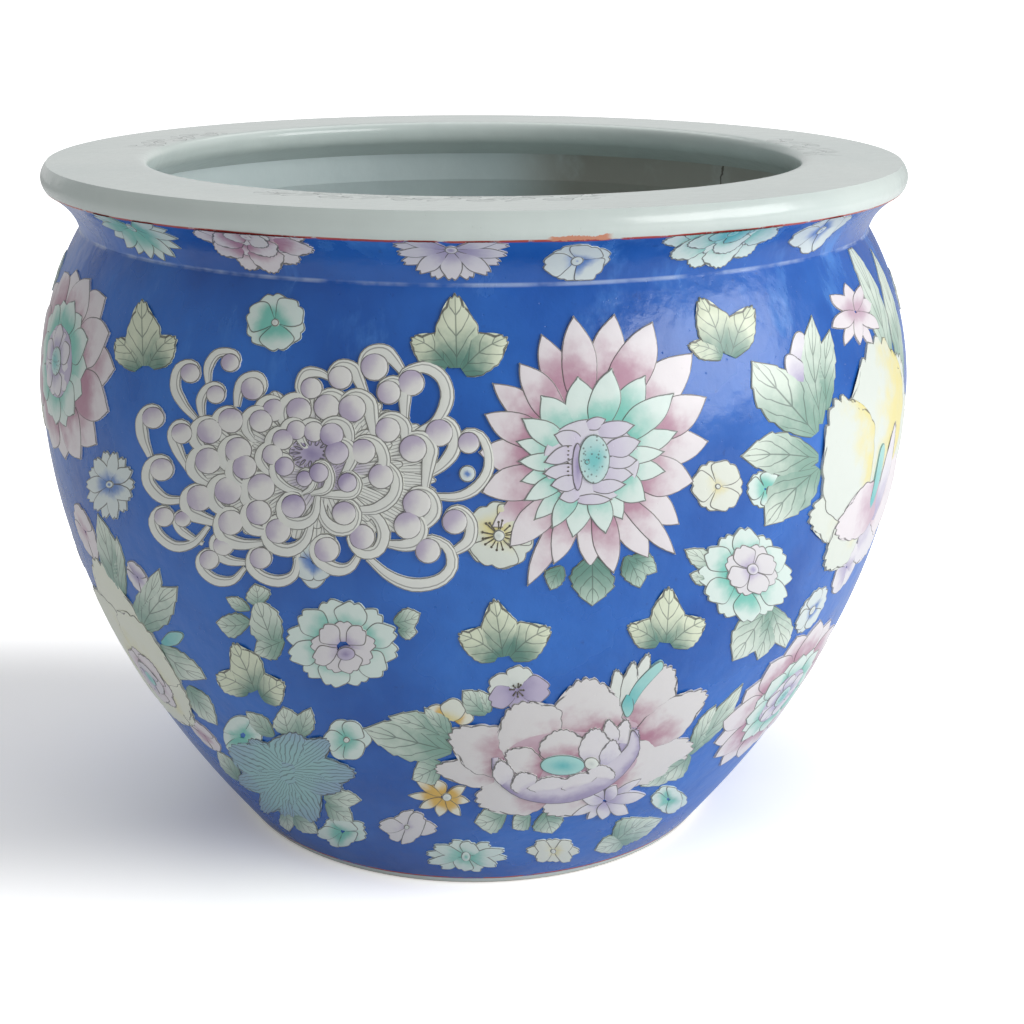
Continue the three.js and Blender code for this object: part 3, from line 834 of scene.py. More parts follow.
def petal_patch(base, tip, width, form, bend=0.0, fine=False):
    """Points of a petal between its base and its tip, with reach along it and side across it."""
    shape = PETALS[form]
    rows, columns = FINE_NET if fine else PLAIN_NET
    if "teeth" in shape or "scallops" in shape:
        rows, columns = rows + EXTRA_NET[0], columns + EXTRA_NET[1]
    reach = 1 - (1 - np.linspace(0, 1, rows)) ** TIP_CROWDING
    side = crowded(columns)
    base, tip = np.array(base, float), np.array(tip, float)
    axis = tip - base
    across = np.array([-axis[1], axis[0]]) / max(np.linalg.norm(axis), TINY)
    profile = bezier([(w, 0) for w in shape["widths"]], reach)[:, 0]
    length = 1 - shape["tip"] * np.abs(side) ** TIP_CURVE
    if "teeth" in shape:
        saw = np.mod(reach * shape["teeth"], 1.0)
        profile = profile * (1 - TEETH_DEPTH * saw * np.clip(reach * TEETH_START, 0, 1))
    if "scallops" in shape:
        on_tip, on_side = shape["scallops"]
        profile = profile * (1 - SCALLOP_DEPTH * cusps(reach, on_side) * np.clip(reach * SCALLOP_START, 0, 1))
        length = length - SCALLOP_DEPTH * cusps((side + 1) / 2 + SCALLOP_SHIFT, on_tip)
    if "notch" in shape:
        length = length - shape["notch"] * np.exp(-((side / NOTCH_WIDTH) ** 2))
    along = reach[:, None] * length[None, :]
    curve = bend * np.sin(math.pi * reach)[:, None]
    phase = reach[:, None] * HAND_WAVES + randomly.random() + 0.25 * np.sign(side)[None, :]
    drawn = 1 + HAND * np.sin(2 * math.pi * phase)
    offset = width / 2 * profile[:, None] * side[None, :] * drawn + curve
    return base + along[..., None] * axis + offset[..., None] * across, *spread(reach, side)


def disc_patch(heart, radii, fine=False):
    """Points of an oval boss, as a square net pulled round, shaded from a side of its own."""
    places = crowded(FINE_BOSS if fine else PLAIN_BOSS)
    u, v = np.meshgrid(places, places, indexing="ij")
    x, y = u * np.sqrt(1 - v * v / 2), v * np.sqrt(1 - u * u / 2)
    points = np.array(heart, float) + np.stack([x * radii[0], y * radii[1]], axis=-1)
    turned = randomly.uniform(*SHADED_FROM)
    return points, np.hypot(x, y), x * math.cos(turned) + y * math.sin(turned)


def strap_patch(path, widths, rows=22):
    """Points of a narrow band along a smooth path, with widths spread evenly along it."""
    path = np.array(path, float)
    knots = np.concatenate([[0], np.cumsum(np.linalg.norm(np.diff(path, axis=0), axis=1))])
    knots /= knots[-1]
    padded = np.vstack([2 * path[0] - path[1], path, 2 * path[-1] - path[-2]])
    reach = np.linspace(0, 1, rows)
    cell = np.clip(np.searchsorted(knots, reach, side="right") - 1, 0, len(path) - 2)
    t = ((reach - knots[cell]) / (knots[cell + 1] - knots[cell]))[:, None]
    p0, p1, p2, p3 = (padded[cell + k] for k in range(4))
    centre = 0.5 * (2 * p1 + (p2 - p0) * t + (2 * p0 - 5 * p1 + 4 * p2 - p3) * t**2
                    + (3 * p1 - p0 - 3 * p2 + p3) * t**3)
    rise = np.gradient(centre, axis=0)
    rise /= np.maximum(np.linalg.norm(rise, axis=1), TINY)[:, None]
    across = np.stack([-rise[:, 1], rise[:, 0]], axis=1)
    half = np.interp(reach, np.linspace(0, 1, len(widths)), widths) / 2
    half = half * np.sqrt(1 - np.clip((reach - STRAP_END[0]) / STRAP_END[1], 0, 1) ** 2)
    offset = (half[:, None] * STRAP_SIDES[None, :])[..., None]
    return centre[:, None, :] + offset * across[:, None, :], *spread(reach, STRAP_SIDES)


# %% [markdown]
# ### From patches to a sprig
# A patch knows its net of points and how they are painted. A relief lays patches on the wall, one
# layer over the other, and measures how far each point is from the edge: the clay is rounded off
# there and the brush line follows it. At the end all patches are pressed into one mesh, each with a
# skirt that goes down into the ground.

# %% Lay a patch on the wall and gather patches into one relief
LAYER = 0.32
LAP = 0.7
BODY_THICKNESS = 0.45
NECK_THICKNESS = 0.3
SKIRT_DEPTH = -0.4
EDGE_ROUNDING = 0.4
CROWN_WIDTH = 4.0
TUCK = 0.3
UNPAINTED = 3.0
PAINT_VALUES = ("rim", "reach", "side", "tone")
CROWN_POWER = 0.7
EDGE_SHARE = 0.7
LEAF_DOME = 0.35
THIRDS = (0, 0.34, 0.67)
LARGE_LEAF = 20
# the band of a curl round its ball: degrees and shares of the distance from the ball
ROLLED_IN = ((45, 0.88), (90, 0.7), (130, 0.5))
CURL_WIDTHS = (0.7, 1.3, 1.2, 0.5)
BALL_SHIFT = 0.06
BALL_RADII = (1.22, 1.2)
SWIRL_PATH = ((36, 1.72), (74, 1.58), (112, 1.35), (148, 1.15))


def thirds(line):
    """The points of an edge, with two more between each two of them."""
    return np.concatenate([line[:-1] + (line[1:] - line[:-1]) * k for k in THIRDS] + [line[-1:]])


def lapped(count):
    """Every second petal of a row first, then the others, which lie over them."""
    return [*range(0, count, 2), *range(1, count, 2)]


def filling(chord, spoke, fill):
    """Width of a petal along a spoke that fills the chord between its neighbours."""
    unit = spoke / np.linalg.norm(spoke)
    return fill * abs(chord[0] * -unit[1] + chord[1] * unit[0])


def heading(angle):
    return np.array([math.cos(angle), math.sin(angle)])


class Relief:
    """Patches of one sprig, gathered until they are pressed into one piece."""

    def __init__(self, place=photo_to_wall, limits=(2.0, NECK_RUN - 1.5), thickness=BODY_THICKNESS):
        self.place = place
        self.limits = limits
        self.thickness = thickness
        self.patches = []

    def add(self, patch, enamel, layer=0.0, dome=0.12, edges="sides tip", place=None):
        points, reach, side = patch
        angle, run = (place or self.place)(points)
        run = np.clip(run, *self.limits)
        flat = np.stack([angle * wall_radius(run), run], axis=-1)
        border = {"sides": [flat[:, 0], flat[:, -1]], "tip": [flat[-1]], "base": [flat[0]]}
        lines = np.concatenate([thirds(line) for name in edges.split() for line in border[name]])
        to_lines = flat.reshape(-1, 1, 2) - lines[None]
        rim = np.sqrt((to_lines**2).sum(-1).min(1)).reshape(reach.shape)
        bevel = np.sqrt(1 - np.clip(1 - rim / EDGE_ROUNDING, 0, 1) ** 2)
        crown = np.minimum(rim / CROWN_WIDTH, 1) ** CROWN_POWER
        tuck = 0.0 if "base" in edges else np.clip(1 - reach * 5, 0, 1) * TUCK
        edge = self.thickness * (EDGE_SHARE + (1 - EDGE_SHARE) * bevel)
        lift = layer * LAYER + edge + dome * crown - tuck
        tone = np.full(reach.shape, randomly.random())
        self.patches.append(dict(
            angle=angle, run=run, lift=lift, flat=flat, enamel=enamel,
            rim=rim, reach=reach, side=side, tone=tone))

    def petal(self, enamel, form, base, tip, width, bend=0.0, layer=0.0, dome=0.12, fine=False, place=None):
        self.add(petal_patch(base, tip, width, form, bend, fine), enamel, layer, dome, place=place)

    def ring(self, enamel, form, heart, radii, count, inner=0.2, fill=1.15, turn=0.0, layer=0.0, dome=0.12,
             jitter=0.05, fine=False, place=None, top=2.0):
        """A row of petals round a heart. Those that point up more than the top sine are left out."""
        heart, radii = np.array(heart, float), np.array(radii, float)
        for index in lapped(count):
            angle = math.radians(turn) + 2 * math.pi * (index + jitter * randomly.uniform(-1, 1)) / count
            if math.sin(angle) > top:
                continue
            reach = 1 + jitter * randomly.uniform(-1, 1)
            spoke = heading(angle) * radii * reach
            chord = heading(angle + math.pi / 2) * radii * 2 * math.pi / count
            self.petal(enamel, form, heart + spoke * inner, heart + spoke, filling(chord, spoke, fill),
                       layer=layer + index % 2 * LAP, dome=dome, fine=fine, place=place)

    def fan(self, enamel, form, heart, tips, inner=0.4, fill=1.1, layer=0.0, fine=False):
        """A row of petals whose tips are drawn round a heart."""
        heart, tips = np.array(heart, float), np.array(tips, float)
        for index in lapped(len(tips)):
            spoke = tips[index] - heart
            chord = (tips[(index + 1) % len(tips)] - tips[index - 1]) / 2 * ((1 + inner) / 2)
            self.petal(enamel, form, heart + spoke * inner, tips[index], filling(chord, spoke, fill),
                       layer=layer + index % 2 * LAP, fine=fine)

    def boss(self, enamel, heart, radii, layer=0.0, dome=0.4, fine=False, place=None):
        self.add(disc_patch(heart, radii, fine), enamel, layer, dome, "sides tip base", place)

    def strap(self, enamel, path, widths, layer=0.0, dome=0.3, place=None):
        self.add(strap_patch(path, widths), enamel, layer, dome, place=place)

    def curl(self, ball, radius, path, layer, end):
        """A curled petal: a band that rolls in round the ball at its tip."""
        ball, last, before = (np.array(point, float) for point in (ball, path[-1], path[-2]))
        out, step = last - ball, last - before
        sweep = math.copysign(1.0, out[0] * step[1] - out[1] * step[0])
        start = math.atan2(out[1], out[0])
        rolled = [ball + np.linalg.norm(out) * share * heading(start + sweep * math.radians(degrees))
                  for degrees, share in ROLLED_IN]
        self.strap("cream", [*path, *rolled], [radius * share for share in CURL_WIDTHS], layer, dome=0.2)
        radii = [radius * share for share in BALL_RADII]
        self.boss(end, ball + BALL_SHIFT * out, radii, layer + 0.5, dome=0.25)

    def swirl(self, ball, radius, root, turn, layer, end):
        """A curl whose band comes from its root and goes round the ball."""
        ball, root = np.array(ball, float), np.array(root, float)
        start = math.atan2(*(root - ball)[::-1])
        path = [ball + radius * share * heading(start + turn * math.radians(degrees))
                for degrees, share in SWIRL_PATH]
        self.curl(ball, radius, [root, *path], layer, end)

    def stamens(self, heart, near, far, count, width, layer=1.5):
        """Fine dark threads with a dot at each end, round a heart."""
        for index in range(count):
            ray = heading(2 * math.pi * (index + 0.3 * randomly.uniform(-1, 1)) / count)
            end = np.array(heart) + ray * far * randomly.uniform(0.75, 1.1)
            start = np.array(heart) + ray * near
            self.strap("stamen", [start, (start + end) / 2, end], (width, width), layer, dome=0.0)
            self.boss("stamen", end, (width, width), layer, dome=0.0)

    def leaves(self, enamel, leaves):
        """Leaves of a base, a tip, a width and sometimes a bend."""
        for base, tip, width, *bend in leaves:
            self.petal(enamel, "leaf", base, tip, width, *bend, dome=LEAF_DOME, fine=width > LARGE_LEAF)

    def press(self, name, node=None, turn=0.0):
        """One mesh of all the patches. A turned copy goes round to another side of the pot."""
        places, faces, enamels = [], [], []
        values = {key: [] for key in PAINT_VALUES}
        start = 0
        for patch in self.patches:
            rows, columns = patch["reach"].shape
            grid = np.arange(rows * columns).reshape(rows, columns)
            corners = [grid[:-1, :-1], grid[:-1, 1:], grid[1:, 1:], grid[1:, :-1]]
            quads = np.stack(corners, axis=-1).reshape(-1, 4)
            loop = np.concatenate([grid[0, :-1], grid[:-1, -1], grid[-1, :0:-1], grid[:0:-1, 0]])
            flat = patch["flat"]
            spans = np.cross(flat[1:, :-1] - flat[:-1, :-1], flat[:-1, 1:] - flat[:-1, :-1])
            if spans.sum() > 0:
                quads = quads[:, ::-1]
                loop = loop[::-1]
            angle, run = patch["angle"].ravel() + math.radians(turn), patch["run"].ravel()
            top = on_wall(angle, run, patch["lift"].ravel())
            skirt = on_wall(angle[loop], run[loop], np.full(len(loop), SKIRT_DEPTH))
            above = rows * columns + np.arange(len(loop))
            below = above + len(loop)
            sides = np.stack([above, below, np.roll(below, -1), np.roll(above, -1)], axis=-1)
            places += [top, top[loop], skirt]
            faces += [quads + start, sides + start]
            enamels += [patch["enamel"]] * (len(quads) + len(sides))
            for key, store in values.items():
                flat_values = patch[key].ravel()
                edge = np.full(len(loop), UNPAINTED) if key == "rim" else flat_values[loop]
                store += [flat_values, edge, edge]
            start += rows * columns + 2 * len(loop)
        places, faces = np.concatenate(places), np.concatenate(faces)
        mesh = bpy.data.meshes.new(name)
        mesh.vertices.add(len(places))
        mesh.vertices.foreach_set("co", places.ravel())
        mesh.loops.add(faces.size)
        mesh.loops.foreach_set("vertex_index", faces.ravel())
        mesh.polygons.add(len(faces))
        mesh.polygons.foreach_set("loop_start", np.arange(0, faces.size, 4))
        used = sorted(set(enamels))
        for enamel in used:
            mesh.materials.append(ENAMELS[enamel])
        mesh.polygons.foreach_set("material_index", [used.index(enamel) for enamel in enamels])
        mesh.polygons.foreach_set("use_smooth", [True] * len(faces))
        for key, store in values.items():
            layer = mesh.attributes.new(key, "FLOAT", "POINT")
            layer.data.foreach_set("value", np.concatenate(store).astype(np.float32))
        mesh.update()
        mesh.validate()
        piece = bpy.data.objects.new(name, mesh)
        bpy.context.scene.collection.objects.link(piece)
        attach(piece, "root")
        if node:
            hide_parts(node)
        print("pressed:", name, len(self.patches), "patches,", len(faces), "faces")
        return piece

    def press_pair(self, name, slot):
        """The sprig on the front and its twin on the back, each with a solid of its own."""
        self.press(f"{name}_front", f"{name}_front")
        self.press(f"{name}_back", f"{name}_back", turn=180)

    def press_with_twin(self, name, node=None):
        """A sprig whose twin on the back has no solid. Its own solid has its name, if it has one."""
        self.press(node or f"{name}_front", node)
        self.press(f"{name}_back", turn=180)


# %% [markdown]
# ## Enamels
# Each enamel is laid in two tones, paler at the tip and deeper at the base, and a dark line is
# drawn with a fine brush just inside the edge, with a pale, warm painted highlight outside it, where
# light catches the raised edge of the enamel. Leaves have a midrib and side veins. All of that is
# painted by the values that the petals carry, so it follows every petal wherever it lies.

# %% Brush line and veins as groups
INK_FROM = 0.1
INK_TO = 0.58
brush, inner, (rim, place, width) = new_group(
    "Brush line", {"Rim": FLOAT, "Place": VECTOR, "Width": FLOAT}, ["Ink", "Halo"])
gap = (rim + (inner.noise(place, 300.0, 2.0) - 0.5) * 0.45) / width
inside_line = inner.fall(gap, INK_TO - 0.22, INK_TO + 0.12)
outside_line = inner.ramp(gap, INK_FROM - 0.16, INK_FROM + 0.1)
# The second output is a pale painted highlight just outside the brush line, on the raised edge.
inner.add("NodeGroupOutput", {
    "Ink": inside_line * outside_line,
    "Halo": inner.fall(gap, INK_FROM - 0.1, INK_FROM + 0.3),
})

veins, inner, (reach, side, pairs) = new_group(
    "Leaf veins", {"Reach": FLOAT, "Side": FLOAT, "Pairs": FLOAT}, ["Vein"])
aside = abs(side)
midrib = inner.fall(aside, 0.01, 0.05)
arch = aside**2.0 * 0.5 + aside * 1.5
phase = inner.math("FRACT", reach * pairs - arch)
lateral = inner.fall(abs(phase - 0.5), 0.02, 0.08) * inner.fall(aside, 0.75, 0.95)
inner.add("NodeGroupOutput", {"Vein": inner.math("MAXIMUM", midrib, lateral)})
print("groups for petals:", brush.name, "and", veins.name)


# %% Mix the enamels
INK = srgb(70, 68, 70)
# the middle colour is a pale painted highlight along the raised edge of every enamel
EDGE_HIGHLIGHT = srgb(190, 192, 172)
VEIN = srgb(72, 86, 82)


def enamel(name, tip, base, fade, pairs=0, dots=0, threads=0, strands=0, bent=False, lean=False, ink=1.0):
    """Two tones, the marks that an enamel has, and the brush line round it.

    pairs counts the side veins, dots scales the seeds, threads places one long line, strands counts
    many, which are bent or straight. A leaning fade goes across the petal. ink widens the line.
    """
    material, tree, shader, place = fired(f"{name}_enamel", 0.34)
    rim, reach, side, tone = (
        tree.value("ShaderNodeAttribute", "Fac", attribute_name=key) for key in PAINT_VALUES)
    cloud = use_group(tree, clouding, Place=place, Size=60.0)["Cloud"]
    if lean:
        reach = side * 0.5 + 0.5
    depth = reach + (cloud - 0.5) * 0.3 + (tone - 0.5) * 0.25
    colour = tree.mix(tree.ramp(depth, *fade), srgb(*base), srgb(*tip))
    if pairs:
        vein = use_group(tree, veins, Reach=reach, Side=side, Pairs=pairs)["Vein"]
        colour = tree.mix(vein * 0.66, colour, VEIN)
    if threads:
        colour = tree.mix(tree.fall(abs(side - threads), 0.04, 0.13) * 0.6, colour, INK)
    if strands:
        across = side * (strands / 2)
        if bent:
            across = across + tree.noise(place, 90.0, 2.0) * 2.0
        gap = abs(tree.math("FRACT", across + 0.5) - 0.5)
        colour = tree.mix(tree.fall(gap, 0.05, 0.17) * 0.6, colour, INK)
    if dots:
        colour = tree.mix(tree.fall(tree.cells(place, dots), 0.18, 0.32) * 0.7, colour, INK)
    lines = use_group(tree, brush, Rim=rim, Place=place, Width=ink)
    # the pale painted highlight on the raised edge, then the ink line
    colour = tree.mix(lines["Halo"] * 0.7, colour, EDGE_HIGHLIGHT)
    tree.join(tree.mix(lines["Ink"] * 0.85, colour, INK), shader["Base Color"])
    peeled(tree, shader, place, 0.0003)
    return material


ENAMEL_TABLE = {
    # name: colour of the tip, colour of the base, shares of the petal where they fade, marks
    "leaf": ((210, 222, 210), (126, 162, 148), (0.0, 0.85), {"pairs": 4.0}),
    "leaf_dark": ((184, 206, 192), (98, 140, 128), (0.0, 0.9), {"pairs": 4.0}),
    "trefoil": ((214, 222, 198), (92, 134, 122), (0.0, 0.75), {"pairs": 3.6}),
    "mint": ((212, 228, 222), (118, 192, 178), (0.1, 0.75), {}),
    "turquoise": ((160, 208, 204), (96, 182, 184), (0.0, 0.9), {}),
    "pod": ((188, 214, 212), (116, 190, 190), (0.1, 0.9), {"dots": 560.0}),
    "rose": ((224, 219, 222), (178, 134, 154), (0.15, 0.75), {}),
    "rose_pale": ((224, 218, 222), (192, 166, 182), (0.0, 0.6), {}),
    "mauve": ((196, 172, 184), (168, 128, 146), (0.0, 0.9), {"ink": 0.1}),
    "peony": ((216, 214, 214), (172, 122, 142), (-0.05, 0.55), {}),
    "lilac": ((218, 216, 222), (168, 160, 192), (0.0, 0.7), {}),
    "cup": ((208, 206, 216), (200, 194, 212), (0.0, 0.8), {}),
    "wall": ((156, 146, 180), (206, 202, 214), (0.35, 0.95), {"lean": True}),
    "violet": ((188, 180, 204), (146, 136, 174), (0.0, 0.9), {}),
    "yellow": ((214, 221, 212), (222, 212, 148), (0.0, 0.62), {}),
    "fold": ((213, 220, 213), (224, 214, 146), (-0.05, 0.5), {"lean": True}),
    "cream_yellow": ((226, 230, 214), (220, 216, 162), (-0.1, 0.6), {}),
    "gold": ((224, 224, 208), (212, 174, 86), (0.3, 0.75), {}),
    "butter": ((218, 223, 212), (218, 208, 150), (-0.1, 0.45), {}),
    "white": ((218, 224, 218), (198, 206, 202), (0.0, 0.7), {}),
    "cream": ((226, 229, 222), (220, 223, 218), (0.0, 0.8), {"threads": 0.4}),
    "curl": ((224, 224, 221), (184, 174, 196), (0.05, 0.7), {"lean": True}),
    "curl_deep": ((212, 207, 217), (162, 150, 184), (0.1, 0.75), {"lean": True}),
    "ray": ((222, 225, 219), (190, 182, 202), (0.1, 0.6), {"strands": 4.0, "ink": 0.8}),
    "pearl": ((218, 216, 219), (182, 172, 198), (-0.1, 0.45), {}),
    "azure": ((208, 219, 219), (92, 130, 192), (0.0, 0.5), {}),
    "frost": ((144, 172, 196), (150, 192, 194), (0.3, 1.05), {"strands": 9.0, "bent": True}),
    "stamen": ((84, 78, 66), (96, 90, 74), (0.1, 0.65), {"ink": 0.1}),
}
ENAMELS = {name: enamel(name, *looks, **marks) for name, (*looks, marks) in ENAMEL_TABLE.items()}
print("enamels:", sorted(ENAMELS))

# %% [markdown]
# ## The lotus
# The lotus right of the middle is the clearest flower: twenty-two pale rose petals, a ring of mint
# petals, a lilac cup and a turquoise seed pod with dark seeds. Its rows are drawn by their tips,
# lowest row first, and each row rests on the one below it.

# %% Lotus
LOTUS_HEART = (590, 462)
LOTUS_TIPS = [
    (541, 334), (573, 316), (614, 314), (652, 322), (692, 353), (706, 397), (708, 441), (693, 481),
    (679, 524), (675, 554), (648, 558), (613, 573), (590, 567), (553, 564), (527, 586), (509, 546),
    (491, 527), (481, 492), (478, 452), (484, 414), (492, 383), (519, 363)]
LOTUS_MINT_TIPS = [
    (577, 376), (611, 368), (645, 375), (673, 393), (677, 431), (664, 451), (665, 471), (645, 500),
    (622, 519), (605, 533), (572, 537), (551, 528), (533, 520), (523, 500), (519, 481), (517, 461),
    (515, 441), (521, 418), (540, 395)]
YELLOW_HEART = (499, 535)
LOTUS_LEAVES = [
    # base, tip, width and sometimes a bend
    ((562, 566), (550, 590), 22, 2), ((592, 556), (592, 606), 46), ((626, 556), (640, 588), 28, -2),
    ((632, 556), (657, 572), 24)]

lotus = Relief()
lotus.leaves("leaf_dark", LOTUS_LEAVES)
lotus.ring("yellow", "notched", YELLOW_HEART, (35, 35), 5, inner=0.06, turn=-110, fine=True)
lotus.stamens(YELLOW_HEART, 6, 17, 15, 1.3)
lotus.boss("white", YELLOW_HEART, (6, 6), layer=1.6)
lotus.fan("rose", "pointed", LOTUS_HEART, LOTUS_TIPS, inner=0.36, fill=1.36, layer=0.8, fine=True)
lotus.fan("mint", "ogee", LOTUS_HEART, LOTUS_MINT_TIPS, inner=0.34, fill=1.4, layer=2.1, fine=True)
cup = enlarged((480, 310), 5.225)
lotus.boss("cup", (577, 785), (252, 218), layer=3.0, dome=0.0, fine=True, place=cup)
CUP_PETALS = [
    # base, tip, width, layer, on an enlargement of the photograph
    ((545, 612), (655, 568), 70, 3.3), ((600, 640), (805, 600), 92, 3.5),
    ((640, 855), (795, 855), 88, 3.4), ((655, 792), (818, 780), 84, 3.7),
    ((575, 925), (760, 905), 76, 3.6), ((490, 985), (690, 985), 60, 3.4),
    ((530, 690), (380, 650), 96, 3.4), ((510, 830), (322, 852), 84, 3.5),
    ((510, 722), (328, 795), 86, 3.8), ((525, 950), (405, 980), 78, 3.4),
    ((515, 890), (362, 912), 86, 3.8), ((655, 735), (834, 682), 108, 4.0)]
for base, tip, width, layer in CUP_PETALS:
    lotus.petal("cup", "ogee", base, tip, width, layer=layer, dome=0.06, fine=True, place=cup)
# The violet crescent left of the seed pod is painted shadow, where the pod shades the cup.
lotus.boss("violet", (505, 815), (30, 125), layer=4.4, dome=0.0, place=cup)
CUP_DOTS = [(456 + 2 * (step % 2), 712 + 21 * step) for step in range(8)]
for dot in CUP_DOTS:
    lotus.boss("stamen", dot, (6, 4), layer=4.5, dome=0.0, place=cup)
lotus.boss("pod", (590, 775), (82, 128), layer=4.9, dome=0.15, fine=True, place=cup)
lotus.boss("turquoise", (553, 790), (15, 15), layer=5.4, dome=0.1, place=cup)
lotus.press_pair("lotus", "rose_enamel")

# %% [markdown]
# ## The peonies
# A peony has broad, wavy petals that blush at the base, and a loose bowl of smaller petals around
# a turquoise heart. The pink one lies low on the front. The two yellow ones sit at the sides, where
# the wall turns away, so their hidden halves are laid on a flat sheet round their hearts.

# %% Pink peony
PINK_LEAVES = [
    ((452, 750), (363, 728), 42), ((447, 738), (388, 716), 26, 3), ((442, 764), (412, 779), 30),
    ((452, 738), (424, 707), 22), ((688, 752), (743, 683), 17, 3), ((690, 754), (716, 704), 18),
    ((690, 755), (655, 781), 24), ((676, 764), (640, 786), 20), ((506, 812), (474, 822), 28, -3),
    ((530, 815), (512, 828), 20), ((545, 812), (552, 833), 34), ((486, 714), (462, 690), 26),
    ((490, 712), (478, 689), 18)]
PINK_BUD = (604, 800)
PINK_BUD_TIPS = [
    (571, 814), (580, 796), (592, 784), (616, 783), (641, 777), (645, 793), (628, 812), (601, 818),
    (586, 818)]

pink = Relief()
pink.leaves("leaf", PINK_LEAVES)
pink.petal("gold", "round", (448, 716), (427, 709), 18)
pink.petal("gold", "round", (452, 716), (474, 718), 16)
pink.petal("butter", "round", (450, 720), (456, 698), 26, layer=0.5, fine=True)
FLORET_HEART = (517, 689)
FLORET = [
    # enamel, tip, width
    ("white", (487, 685), 30), ("violet", (488, 702), 24), ("violet", (522, 711), 26),
    ("violet", (551, 688), 28), ("white", (524, 665), 30)]
for colour, tip, width in FLORET:
    layer = 0.4 + 0.3 * (len(pink.patches) % 2)
    pink.petal(colour, "notched", FLORET_HEART, tip, width, layer=layer, fine=True)
pink.stamens(FLORET_HEART, 2, 7, 8, 1.0, layer=1.8)
pink.fan("lilac", "blade", PINK_BUD, PINK_BUD_TIPS, inner=0.08, fill=1.4, layer=1.7)
pink.boss("mauve", (595, 748), (66, 42), layer=0.3, dome=0.0, fine=True)
PINK_PETALS = [
    # base, tip, width, layer
    ((634, 722), (672, 665), 44, 0.9), ((636, 744), (707, 690), 36, 1.1), ((596, 778), (694, 742), 44, 0.9),
    ((590, 742), (586, 676), 70, 1.2), ((542, 752), (514, 702), 70, 1.6), ((520, 764), (448, 732), 50, 1.4),
    ((508, 776), (433, 767), 28, 1.1), ((558, 780), (474, 800), 48, 1.2), ((606, 780), (542, 811), 38, 1.0)]
PINK_FEATHERS = [
    # base, tip, width, layer
    ((622, 716), (616, 668), 20, 0.9), ((624, 714), (634, 660), 18, 1.3), ((626, 712), (649, 652), 18, 1.0)]
for base, tip, width, layer in PINK_PETALS:
    pink.petal("peony", "wavy", base, tip, width, layer=layer, dome=0.08, fine=True)
for base, tip, width, layer in PINK_FEATHERS:
    pink.petal("white", "wavy", base, tip, width, layer=layer)
pink.petal("turquoise", "ray", (625, 714), (662, 660), 11, bend=-5, layer=1.9)
pink.petal("turquoise", "round", (628, 692), (626, 716), 13, layer=2.2)
inside = enlarged((400, 640), 4.356)
pink.boss("mauve", (740, 510), (290, 118), layer=1.9, dome=0.0, fine=True, place=inside)
PINK_INNER = [
    # enamel, base, tip, width, layer
    ("violet", (950, 560), (1030, 375), 96, 2.2), ("pearl", (960, 460), (985, 335), 70, 2.4),
    ("pearl", (930, 450), (902, 335), 70, 2.6), ("peony", (715, 525), (700, 378), 215, 2.5),
    ("peony", (620, 565), (455, 480), 130, 2.9), ("pearl", (850, 540), (850, 372), 150, 3.0),
    ("lilac", (905, 580), (925, 420), 100, 3.3)]
for colour, base, tip, width, layer in PINK_INNER:
    pink.petal(colour, "wavy", base, tip, width, layer=layer, dome=0.05, fine=True, place=inside)
pink.boss("turquoise", (705, 535), (98, 44), layer=3.6, dome=0.2, fine=True, place=inside)
pink.boss("white", (830, 527), (34, 28), layer=3.9, place=inside)
PINK_BOWL = [
    (414, 505), (428, 570), (500, 625), (620, 655), (740, 648), (860, 605), (960, 530), (1015, 450),
    (1005, 380)]
pink.strap("wall", PINK_BOWL, (34, 90, 96, 84, 44), layer=3.6, dome=0.2, place=inside)
PINK_LIPS = [
    # base, tip, width
    ((462, 615), (430, 510), 92), ((555, 645), (515, 565), 120), ((650, 650), (640, 582), 180),
    ((780, 630), (760, 570), 170), ((870, 600), (880, 530), 120)]
for base, tip, width in PINK_LIPS:
    layer = 4.1 + 0.3 * (width > 90)
    pink.petal("pearl", "wavy", base, tip, width, layer=layer, dome=0.05, fine=True, place=inside)
pink.press_pair("pink_peony", "rose_enamel")

# %% Right peony
RIGHT_LEAVES = [
    ((815, 434), (751, 361), 56), ((820, 424), (811, 315), 28, -3), ((826, 410), (829, 329), 24, -4),
    ((818, 458), (740, 456), 46, 3), ((818, 468), (764, 526), 44, 4)]
RIGHT_BUD = (855, 312)
RIGHT_BUD_TIPS = [
    (844, 283), (859, 285), (873, 300), (878, 329), (873, 351), (859, 345), (844, 346), (831, 328),
    (829, 295)]

